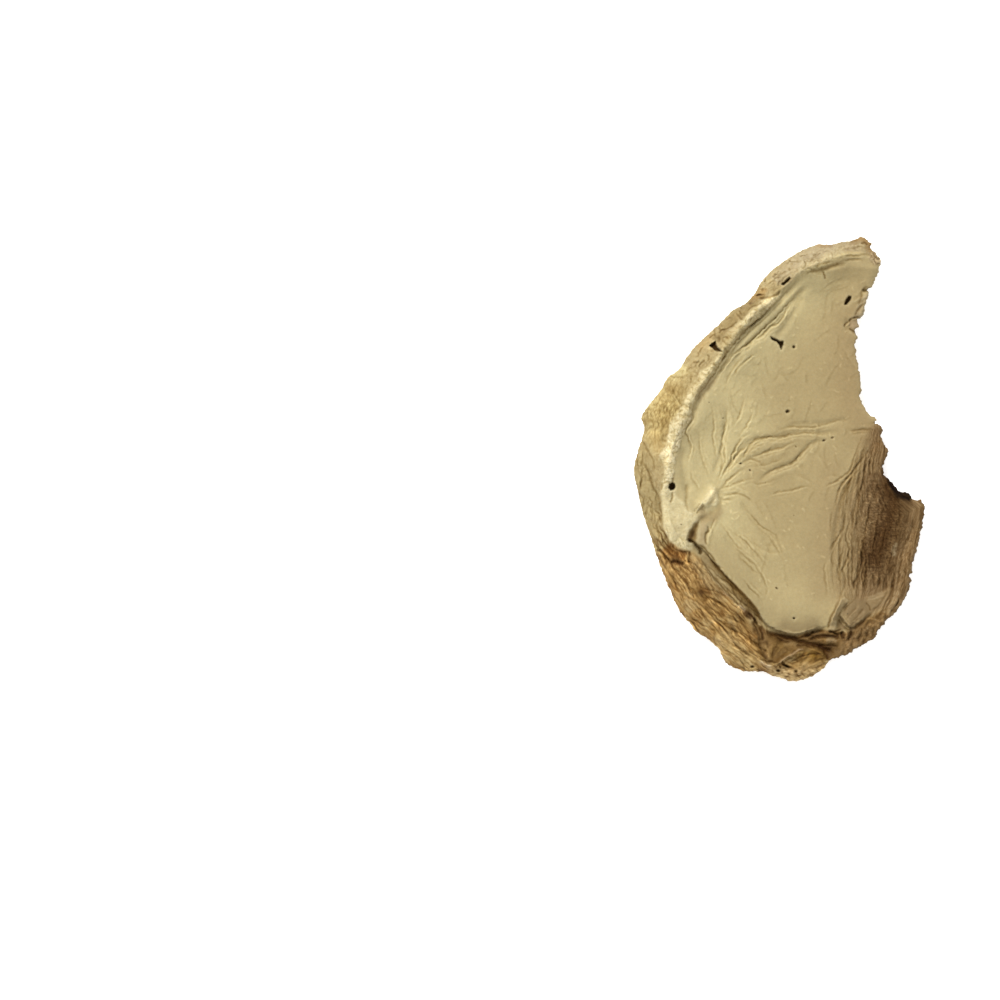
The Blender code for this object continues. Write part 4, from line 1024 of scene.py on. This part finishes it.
# Holes with an outline: the depth in mm and its corners
HOLES = [
    (0.9, [(708.8, 346), (714.8, 341.6), (716.2, 347.5), (720.3, 353), (717.5, 352.4), (713, 350.6)]),
    (0.8, [(770, 337.6), (775, 339.4), (779, 342), (782.3, 341.6), (782.6, 345.5), (780.6, 350.2),
     (779.4, 346.5), (775.5, 342.2), (771, 340)]),
    (0.6, [(780.2, 285.6), (787.6, 278.4), (789.2, 279.4), (782.2, 286.8)]),
    (0.7, [(847.6, 296.6), (849.8, 297.6), (849.4, 300.6), (845.4, 305.2), (843.2, 304.6), (845, 300)]),
    (0.9, [(668, 484), (670.5, 482.6), (673.4, 484), (674.2, 487), (672.6, 489.8), (669.6, 490.2),
     (667.4, 487.8)]),
]

# Raised and sunken sheets: rise in mm, how soft the edge is in pixels, colour, corners
SHEETS = [
    (0.16, 1.2, pigment(178, 155, 113), [(838.5, 600), (833, 609.5), (830, 616), (828, 623), (827.3, 629),
     (833, 630.5), (835.5, 626), (836, 620), (837, 614), (842, 607), (847.5, 600.5), (843, 596)]),
    (-0.14, 1.2, pigment(176, 152, 116), [(849, 320.5), (858, 320), (859, 328), (854, 331), (848, 327)]),
    (-0.18, 1.8, pigment(136, 104, 50), [(685.5, 539.5), (687, 534), (689.5, 529), (693.5, 523.5),
     (697, 521), (696.5, 527), (695, 533), (695.5, 538), (694, 542), (689, 541.5)]),
    (0.1, 3.5, pigment(180, 159, 118), [(698, 527), (701, 521), (707, 523), (707, 530), (704.7, 534),
     (704.7, 540), (706, 546), (699, 546), (695.5, 541), (696, 534)]),
    (0.06, 6, pigment(174, 152, 108), [(700, 503), (706, 512), (714, 511), (719, 504), (722, 512),
     (716, 524), (703, 523), (696, 519)]),
    (0.12, 4.5, PALE, [(708.5, 487), (711, 485.5), (713, 490), (714.5, 494), (716.3, 499), (716.3, 503.5),
     (714, 507), (710, 508.5), (706, 509.5), (702, 506), (699.5, 503), (703, 498.5), (706, 493)]),
    (-0.1, 1.2, pigment(98, 62, 30), [(740.5, 608.5), (745.5, 609), (751, 613.5), (754, 619),
     (749.5, 619.5), (743.5, 614.5)]),
    # Painted shade between the two pleats
    (0.06, 1.2, pigment(126, 101, 64), [(836, 619), (840, 621), (846, 627.5), (843, 630), (835, 630)]),
    (0.0, 1.6, pigment(143, 120, 84), [(840, 611.5), (838, 615.3), (840, 619.3), (847, 626.3),
     (851, 628.4), (856.5, 624), (862.8, 618.4), (869.4, 612), (866.5, 604.3), (863.5, 600.5),
     (853.3, 599)]),
    (0.08, 2.5, pigment(152, 128, 89), [(864, 598), (875, 595.5), (888.5, 589), (883, 602), (869, 611),
     (866, 604)]),
]

# Round pits: middle, radius in pixels, stretch, turn in degrees, depth in mm
PITS = [
    # The face
    ((793, 347.8), 1.3, 1.0, 0, 0.4),
    ((787.2, 412.2), 1.4, 1.3, -10, 0.4),
    ((793.6, 618), 1.1, 1.0, 0, 0.4),
    ((739.4, 463.6), 1.0, 1.4, 0, 0.2),
    ((749.6, 470), 0.9, 1.0, 0, 0.2),
    ((795.5, 446.8), 0.6, 1.2, 0, 0.2),
    ((823.4, 440.4), 0.9, 2.0, -30, 0.25),
    ((831.5, 437.8), 0.8, 2.0, -10, 0.2),
    ((707.5, 403), 0.5, 1.3, 0, 0.08),
    ((722, 418.5), 0.5, 1.2, 0, 0.08),
    ((764.5, 482.5), 0.5, 1.2, 0, 0.1),
    ((680, 524), 0.7, 1.4, 30, 0.1),
    ((793, 515), 0.5, 1.2, 0, 0.1),
    ((776, 588), 0.9, 1.8, 40, 0.1),
    # The skin and the foot
    ((758, 296), 1.2, 3.0, -8, 0.3),
    ((752, 666), 1.4, 1.3, 0, 0.35),
    ((777, 670), 1.5, 1.3, 30, 0.45),
    ((785.5, 665), 1.5, 3.0, 28, 0.45),
    ((795.5, 671), 1.2, 1.4, 0, 0.35),
    ((812, 632), 1.2, 1.4, 0, 0.2),
]


def work_marks(flesh):
    """The single folds, cracks, ridges and holes, each where the photograph has it."""
    rubble = 1 + 0.35 * rough_noise(flesh.at, 5, 79, 3)
    for rise, soft, colour, corners in SHEETS:
        flesh.rise += rise * flesh.patch(corners, soft, uneven=0.8) * rubble
        flesh.tint(flesh.patch(corners, min(soft, 3), uneven=0.8), colour, 0.8)
    # Painted shade deep in the pocket
    flesh.tint(flesh.line([(688, 539), (691, 535), (692, 532)], 2.4, ends=0), UMBER, 0.85)
    # Each fold and its fainter twin, with painted shade in the groove and a painted highlight on the lip
    for seed, (lift, reach, groove, line) in enumerate(FOLDS):
        flesh.fold(line, lift, 0.85 * reach, groove, dark=0.78, light=1.09, ends=0.42, seed=seed, thin=1.0)
        flesh.fold(beside(line, 3.4), 0.3 * lift, 2.4, 0.3 * groove, dark=0.93, light=1.03, ends=0.4,
                   seed=seed + 60, thin=0.9)
    # The marks' darkening is painted shade in the cuts, partly crack colour, and their lightening a painted
    # highlight
    for seed, (rise, half_width, factor, line) in enumerate(MARKS):
        mask = flesh.line(line, half_width, uneven=0.35, seed=seed)
        flesh.rise += rise * mask
        flesh.shade(mask, factor)
    for seed, (half_width, colour, amount, line) in enumerate(STREAKS):
        flesh.tint(flesh.line(line, half_width, uneven=0.5, seed=seed), colour, amount)
    # Holes and pits are cut and filled with painted shade
    for depth, corners in HOLES:
        mask = flesh.patch(corners, 0.8)
        flesh.rise -= depth * mask
        flesh.tint(mask, PIT_SHADE_BROWN, 0.95)
    for middle, radius, stretch, turn, depth in PITS:
        mask = flesh.spot(middle, radius, stretch, turn, sharp=1.5)
        flesh.rise -= depth * mask
        flesh.tint(mask, PIT_SHADE_BROWN, 0.9)
    flesh.tint(flesh.spot((700, 592.5), 3.0, 1.2, 20), UMBER, 0.8)


def work_foot(flesh):
    """The crumpled foot: a smooth brown hollow, a glossy bulge, and lumps and dark hollows round them."""
    at = flesh.at
    bulge = flesh.patch(BULGE_AREA, 3)
    smooth = np.clip(flesh.patch(HOLLOW_AREA, 4) + bulge, 0, 1)
    foot = flesh.patch(FOOT_AREA, 3) * (1 - 0.85 * smooth)
    bent = at + 3 * np.column_stack([noise(at, 18, 44), noise(at, 18, 45)])
    crumple = 0.5 - np.abs(noise(bent, 15, 46)) + 0.5 * (0.4 - np.abs(noise(bent, 7.5, 47)))
    flesh.rise += foot * 0.30 * crumple + smooth * 0.09 * rough_noise(at, 10, 48, 3)
    flesh.wrinkle(smooth, grain(at, 130, 2), [(10, 0.12, 84), (4.5, 0.05, 85)], UMBER, light=1.25)
    flesh.grow(foot + 0.6 * smooth, grain(at, 150, 2), 0.35)
    # Painted shade in the crumple's hollows and painted light on its lumps
    flesh.shade(foot * np.clip(-crumple * 2.2, 0, 1), 0.6)
    flesh.shade(foot * np.clip(crumple - 0.25, 0, 1), 1.3)
    corner = flesh.patch(CORNER_AREA, 4, uneven=2, seed=12)
    flesh.wrinkle(corner, grain(at, 108, 2.2), [(6, 0.18, 49), (2.9, 0.11, 55)], FOOT_BROWN)
    flesh.tint(corner * ease(rough_noise(at, 6, 99, 3) * 3 - 0.5), UMBER, 0.4)
    flesh.tint(corner * ease(rough_noise(at, 5, 65, 3) * 3 - 0.8), pigment(170, 146, 106), 0.5)
    low = flesh.patch(LOW_SKIN_AREA, 3, uneven=2, seed=13)
    flesh.tint(low, pigment(214, 184, 130), 0.9)
    flesh.wrinkle(low, grain(at, 22, 1.8), [(7, 0.28, 50), (3.4, 0.12, 56)], pigment(142, 106, 58))
    flesh.rough -= 0.5 * bulge


def work_wall(flesh):
    """The crevice's wall, drawn out in thin lengthwise lines that stop at the face."""
    rise, paint = flesh.rise.copy(), flesh.paint.copy()
    flesh.folds(strokes(WALL_AREA, WALL_AREA[:7], 34, 26, 0.05, 96), 0.05, 1.8, 0.06, 0.68, 1.2, thin=0.8)
    spared = flesh.line(beside(WALL_AREA[:8], SPARED_OFF_EDGE), SPARED_HALF_WIDTH, ends=0)
    flesh.rise += spared * (rise - flesh.rise)
    flesh.paint += spared[:, None] * (paint - flesh.paint)


def work_face(flesh, face):
    """The cut face: almost smooth and faintly wavy, with a few pale scratches and crumbs."""
    at = flesh.at
    flesh.rise += face * (0.045 * rough_noise(at, 30, 71, 3) + 0.012 * noise(at, 5, 75))
    whole_face = [(806, 275), (862, 270), (855, 400), (872, 425), (830, 490), (822, 600), (795, 615),
                  (770, 600), (722, 540), (715, 480), (705, 400), (740, 350)]
    guide = [(850, 280), (760, 380), (730, 480), (800, 600)]
    for line in strokes(whole_face, guide, 90, 6, 1.2, 76):
        mask = flesh.line(line, 0.9, ends=0.3)
        flesh.rise += 0.035 * mask
        flesh.shade(mask, 1.13)
    flesh.folds(strokes(whole_face, guide, 60, 26, 0.5, 77), 0.035, 8, 0.012, dark=0.95, light=1.02)
    drapes = [(688, 425), (700, 395), (730, 365), (760, 340), (780, 345), (760, 400), (735, 440),
              (715, 482), (690, 480)]
    guide = [(800, 290), (740, 355), (712, 420), (705, 490)]
    flesh.folds(strokes(drapes, guide, 30, 14, 0.4, 83), 0.03, 4, 0.012, 0.95, 1.06, ends=0.45, thin=0.9)


def upper_side(at):
    """The side that the photograph shows."""
    flesh = Flesh(at)
    skin, band = paint_areas(flesh)
    face = np.clip(1 - skin - band, 0, 1) * (1 - flesh.patch(FOOT_AREA, 3))
    work_face(flesh, face)
    work_skin(flesh, skin)
    work_band(flesh, band)
    work_crest(flesh)
    work_foot(flesh)
    work_wall(flesh)
    work_marks(flesh)
    return flesh


def under_side(at):
    """The hidden side: a paler cut face with dark gills under the brown band, and a skin-coloured rim."""
    flesh = Flesh(at)
    flesh.tint(ease(rough_noise(at, 45, 51) + 0.4), DUN, 0.5)
    flesh.tint(ease(1.6 * rough_noise(at, 26, 53)), CREAM, 0.45)
    flesh.rise += 0.16 * rough_noise(at, 40, 54, 3)
    whole = [(800, 275), (862, 265), (850, 400), (850, 480), (830, 600), (770, 650), (690, 590), (655, 480),
             (690, 380)]
    flesh.folds(strokes(whole, SKIN_GUIDE, 26, 90, 0.35, 52), 0.10, 14, 0.05, 0.9, 1.04, ends=0.5, thin=2.2)
    rim = [(640, 425), (636, 470), (650, 535), (672, 590), (700, 634), (735, 664), (790, 680), (828, 664)]
    flesh.tint_lines([
        (14, 0, 0.4, OCHRE, 0.75, rim),
        (10, 0, 0.4, GREY_SKIN, 0.9, [(640, 420), (690, 355), (760, 290), (840, 245)]),
        (12, 0, 0.4, BAND_BROWN, 0.8, TORN_EDGE[9:]),
    ])
    gills = flesh.patch(GILLS_INNER + GILLS_OUTER[::-1], 4, uneven=3, seed=15)
    flesh.tint(gills, CORE_BROWN, 0.9)
    inner, _, down_inner, inner_run = nearest(at, smooth_line(GILLS_INNER))
    outer, _, down_outer, outer_run = nearest(at, smooth_line(GILLS_OUTER))
    across = inner / (inner + outer)
    down = down_inner / inner_run * (1 - across) + down_outer / outer_run * across
    plates = np.column_stack([down * GILL_COUNT * 2 + 0.3 * noise(at, 16, 55), across * 1.2])
    flesh.tint(gills * ease(1.4 * noise(plates, 0.8, 56)), BAND_BROWN, 0.6)
    flesh.rise += gills * 0.1 * noise(plates, 0.8, 56)
    return flesh


def linked(name, data):
    """A new object in the scene."""
    made = bpy.data.objects.new(name, data)
    bpy.context.scene.collection.objects.link(made)
    return made


def applied(obj):
    return bpy.data.meshes.new_from_object(obj.evaluated_get(bpy.context.evaluated_depsgraph_get()))


def read(vertices, name):
    values = np.empty(len(vertices) * 3, np.float32)
    vertices.foreach_get(name, values)
    return values.reshape(-1, 3).astype(float)


def write(mesh, places):
    mesh.vertices.foreach_set("co", places.astype(np.float32).ravel())
    mesh.update()


def store(mesh, name, kind, values):
    layer = mesh.attributes.new(name, kind, "POINT")
    field = {"FLOAT_COLOR": "color", "FLOAT_VECTOR": "vector", "FLOAT": "value"}[kind]
    layer.data.foreach_set(field, np.asarray(values, np.float32).ravel())


def edges_of(mesh):
    ends = np.empty(len(mesh.edges) * 2, np.int32)
    mesh.edges.foreach_get("vertices", ends)
    return ends.reshape(-1, 2)


def smoothed(values, edges, rounds):
    """The values, each moved half way to the mean of its neighbours that many times."""
    first, second = edges.T
    size = len(values)
    count = np.maximum(np.bincount(first, minlength=size) + np.bincount(second, minlength=size), 1)
    for _ in range(rounds):
        total = np.bincount(first, values[second], size) + np.bincount(second, values[first], size)
        values = 0.5 * values + 0.5 * total / count
    return values


def thinned(work, triangles, group=""):
    """The object's mesh, thinned where it is flattest to about that many triangles. The object goes."""
    count = sum(len(face.vertices) - 2 for face in work.data.polygons)
    thin = work.modifiers.new("thin", "DECIMATE")
    thin.vertex_group = group
    thin.ratio = min(1.0, triangles / count)
    mesh = applied(work)
    bpy.data.objects.remove(work)
    return mesh


def on_photo(places):
    """The photograph's pixel for each place on the flake."""
    return MIDDLE + places[:, :2] / PX * [1, -1]


def fine_mesh(node):
    """The node's surface as a smooth mesh of even small faces, with fewer faces on the underside."""
    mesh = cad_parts[node].data.copy()
    shape = bmesh.new()
    shape.from_mesh(mesh)
    bmesh.ops.remove_doubles(shape, verts=shape.verts, dist=SAME_PLACE)
    shape.to_mesh(mesh)
    shape.free()
    mesh.materials.clear()
    work = linked("work", mesh)
    remesh = work.modifiers.new("even", "REMESH")
    remesh.mode = "VOXEL"
    remesh.voxel_size = FINE_SPACING * MM
    remesh.use_smooth_shade = True
    work.data = applied(work)
    work.modifiers.clear()
    places = read(work.data.vertices, "co")
    places[:, 2] = smoothed(places[:, 2], edges_of(work.data), SMOOTHING_ROUNDS)
    write(work.data, places)
    under = work.vertex_groups.new(name="under")
    faces_down = read(work.data.vertices, "normal")[:, 2] < -0.2
    gilled = inside(on_photo(places), np.array(GILLS_INNER + GILLS_OUTER[::-1], float))
    under.add(np.flatnonzero(faces_down & ~gilled).tolist(), 1.0, "REPLACE")
    return thinned(work, WORKED_TRIANGLES, under.name)


def thickness(mesh, places, wanted):
    """How much flesh lies below each wanted point, in metres."""
    tree = BVHTree.FromPolygons(places.tolist(), [tuple(face.vertices) for face in mesh.polygons])
    below = Vector((0, 0, -1))
    found = np.full(len(places), np.inf)
    for index in wanted:
        # The ray starts just under the surface, so that it can't hit it there
        start = Vector(places[index]) + below * 0.02 * MM
        hit, _, _, distance = tree.ray_cast(start, below)
        found[index] = distance if hit else 0.0
    return found


def flake():
    """The finished flake: the fine mesh, worked on both sides."""
    mesh = fine_mesh(NODE)
    places = read(mesh.vertices, "co")
    normals = read(mesh.vertices, "normal")

    # 1 where a place faces up, 0 where it faces down, and between the two round the rim
    up = ease((normals[:, 2] + 0.1) / 0.4)[:, None]

    at = on_photo(places)
    top, under = upper_side(at), under_side(at)
    deep = np.flatnonzero((top.rise < -DEEP_CUT) & (up[:, 0] > 0.5))
    floor = np.maximum(-CUT_SHARE * thickness(mesh, places, deep) / MM, -DEEPEST_CUT)
    rise = np.where(np.isin(np.arange(len(at)), deep), np.maximum(top.rise, floor), top.rise)
    places[:, 2] += (rise * up[:, 0] - UNDER_SHARE * under.rise * (1 - up[:, 0])) * MM

    torn, _, _, _ = nearest(at, smooth_line(TORN_EDGE))
    ragged = np.exp(-((torn / TORN_WIDTH) ** 2)) * (0.5 * noise(at, 5.5, 61) + 0.5 * noise(at, 2.8, 62))
    bitten = 0.8 * noise(at, 4.2, 63) * ease((at[:, 1] - 500) / 60)
    bitten = bitten + 0.8 * noise(at, 3, 64) + 0.5 * noise(at, 8, 95)
    outward = normals[:, :2] * (1 - np.abs(normals[:, 2:]))
    places[:, :2] += outward * ((ragged * RAGGED + bitten) * PX)[:, None]
    places[:, 2] = np.maximum(places[:, 2], 0)
    over = np.maximum(places[:, 2] - LEVEL_OFF * MM, 0)
    places[:, 2] -= over * over / (over + HEADROOM * MM)

    paint = top.paint * up + under.paint * (1 - up)
    dent = smoothed(places[:, 2], edges_of(mesh), DENT_ROUNDS) - places[:, 2]
    hollow = np.clip(dent / (FULL_DENT * MM), -0.4, 1.0)[:, None]
    # Painted shade darkens the hollows. A low place is a hollow from above, and a lump from below
    paint *= np.exp(-DENT_SHADE * hollow * WARMTH * np.clip(2.5 * normals[:, 2:], -1, 1))
    write(mesh, places)
    store(mesh, "paint", "FLOAT_COLOR", np.column_stack([np.clip(paint, DARKEST, 1), np.ones(len(places))]))
    store(mesh, "grit", "FLOAT", np.clip(top.rough, 0, 1.5))
    store(mesh, "run", "FLOAT_VECTOR", np.column_stack([top.run, np.zeros(len(at))]))
    store(mesh, "fibre", "FLOAT", top.fibre * up[:, 0])
    piece = linked("flake", thinned(linked("work", mesh), MOST_TRIANGLES))
    piece.data.shade_smooth()
    piece.data.materials.append(dried_flesh())
    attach(piece, "root")
    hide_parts(NODE)


def feed(tree, node, inputs):
    """Gives each of these inputs its value, or the output of another node."""
    for name, value in inputs.items():
        if isinstance(value, bpy.types.NodeSocket):
            tree.links.new(value, node.inputs[name])
        else:
            node.inputs[name].default_value = value


def dried_flesh():
    """Matt dried flesh: the painted colour with fine mottling, a little light passing through, and grit."""
    material = bpy.data.materials.new("dried_flesh")
    material.use_nodes = True
    tree = material.node_tree

    def add(kind, output, inputs, **settings):
        """The output of a new node with these inputs and settings."""
        node = tree.nodes.new("ShaderNode" + kind)
        for name, value in settings.items():
            setattr(node, name, value)
        feed(tree, node, inputs)
        return node.outputs[output]

    # The painted colour with fine mottling
    place = add("TexCoord", "Object", {})
    grit = add("Attribute", "Fac", {}, attribute_name="grit")
    paint = add("Attribute", "Color", {}, attribute_name="paint")
    mottle = add("TexNoise", "Fac", {"Vector": place, "Scale": 3200, "Detail": 5, "Roughness": 0.65})
    vary = add("MapRange", "Result", {
        "Value": mottle, "From Min": 0.3, "From Max": 0.7, "To Min": 0.93, "To Max": 1.07,
    })
    mottled = add("VectorMath", "Vector", {0: paint, "Scale": vary}, operation="SCALE")

    # Creases between the fine fibres of the skin and the band, darkened as painted shade
    run = add("Attribute", "Vector", {}, attribute_name="run")
    fibre = add("Attribute", "Fac", {}, attribute_name="fibre")
    threads = add("TexNoise", "Fac", {"Vector": run, "Scale": 0.42, "Detail": 2})
    centred = add("Math", "Value", {0: threads, 1: 0.5}, operation="SUBTRACT")
    ridge = add("Math", "Value", {0: centred}, operation="ABSOLUTE")
    creases = add("ValToRGB", "Color", {"Fac": ridge})
    ramp = creases.node.color_ramp.elements
    ramp[0].color = (0.42, 0.32, 0.2, 1)
    ramp[1].position = 0.09
    ramp[1].color = (1, 1, 1, 1)
    drawn = add("Mix", "Result", {"Factor": fibre, "A": mottled, "B": creases}, data_type="RGBA",
                blend_type="MULTIPLY")

    # Grit and fibres as bumps
    rough = add("MapRange", "Result", {"Value": grit, "To Min": 0.42, "To Max": 0.75})
    grains = add("TexNoise", "Fac", {"Vector": place, "Scale": 4200, "Detail": 4})
    strength = add("Math", "Value", {0: grit, 1: 0.9}, operation="MULTIPLY")
    bump = add("Bump", "Normal", {"Distance": 0.00009, "Strength": strength, "Height": grains})
    thread_bump = add("Bump", "Normal", {
        "Distance": 0.00025, "Strength": fibre, "Height": ridge, "Normal": bump,
    })
    feed(tree, tree.nodes["Principled BSDF"], {
        "Base Color": drawn, "Roughness": rough, "Normal": thread_bump, "Specular IOR Level": 0.04,
        "Subsurface Weight": 0.08, "Subsurface Radius": (1.0, 0.6, 0.3), "Subsurface Scale": 0.0003,
    })
    return material


def studio():
    """A near-white floor, a soft lamp at the top left, and pale light all round."""
    white = bpy.data.materials.new("floor_white")
    white.use_nodes = True
    feed(white.node_tree, white.node_tree.nodes["Principled BSDF"], {
        "Base Color": (0.9, 0.9, 0.9, 1), "Roughness": 0.9,
        "Emission Color": (1, 1, 1, 1), "Emission Strength": 0.45,
    })
    corners = [(-1, -1), (1, -1), (1, 1), (-1, 1)]
    sheet = bpy.data.meshes.new("floor")
    sheet.from_pydata([(x * FLOOR_HALF, y * FLOOR_HALF, 0) for x, y in corners], [], [(0, 1, 2, 3)])
    floor = linked("floor", sheet)
    sheet.materials.append(white)

    lamp = bpy.data.lights.new("key", "AREA")
    lamp.shape = "DISK"
    lamp.size = 0.38
    lamp.energy = 9.7
    key = linked("key", lamp)
    key.location = LAMP_PLACE
    key.rotation_mode = "QUATERNION"
    key.rotation_quaternion = (-key.location).to_track_quat("-Z", "Y")

    world = bpy.data.worlds.new("studio")
    world.use_nodes = True
    sky = world.node_tree
    feed(sky, sky.nodes["Background"], {"Color": (1, 1, 1, 1), "Strength": 0.97})
    bpy.context.scene.world = world
    bpy.context.scene.view_settings.view_transform = "Standard"


def camera():
    """Straight above the photograph's middle, so high that its pixels fall on their places on the flake."""
    lens = bpy.data.cameras.new("camera")
    lens.lens = LENS_MM
    lens.sensor_width = SENSOR_MM
    lens.clip_start = 0.01
    lens.clip_end = 20
    eye = linked("camera", lens)
    half_picture = PICTURE_SIZE / 2
    x, y = (half_picture - MIDDLE[0]) * PX, (MIDDLE[1] - half_picture) * PX
    eye.location = (x, y, half_picture * PX * LENS_MM / (SENSOR_MM / 2))
    bpy.context.scene.camera = eye


flake()
studio()
camera()
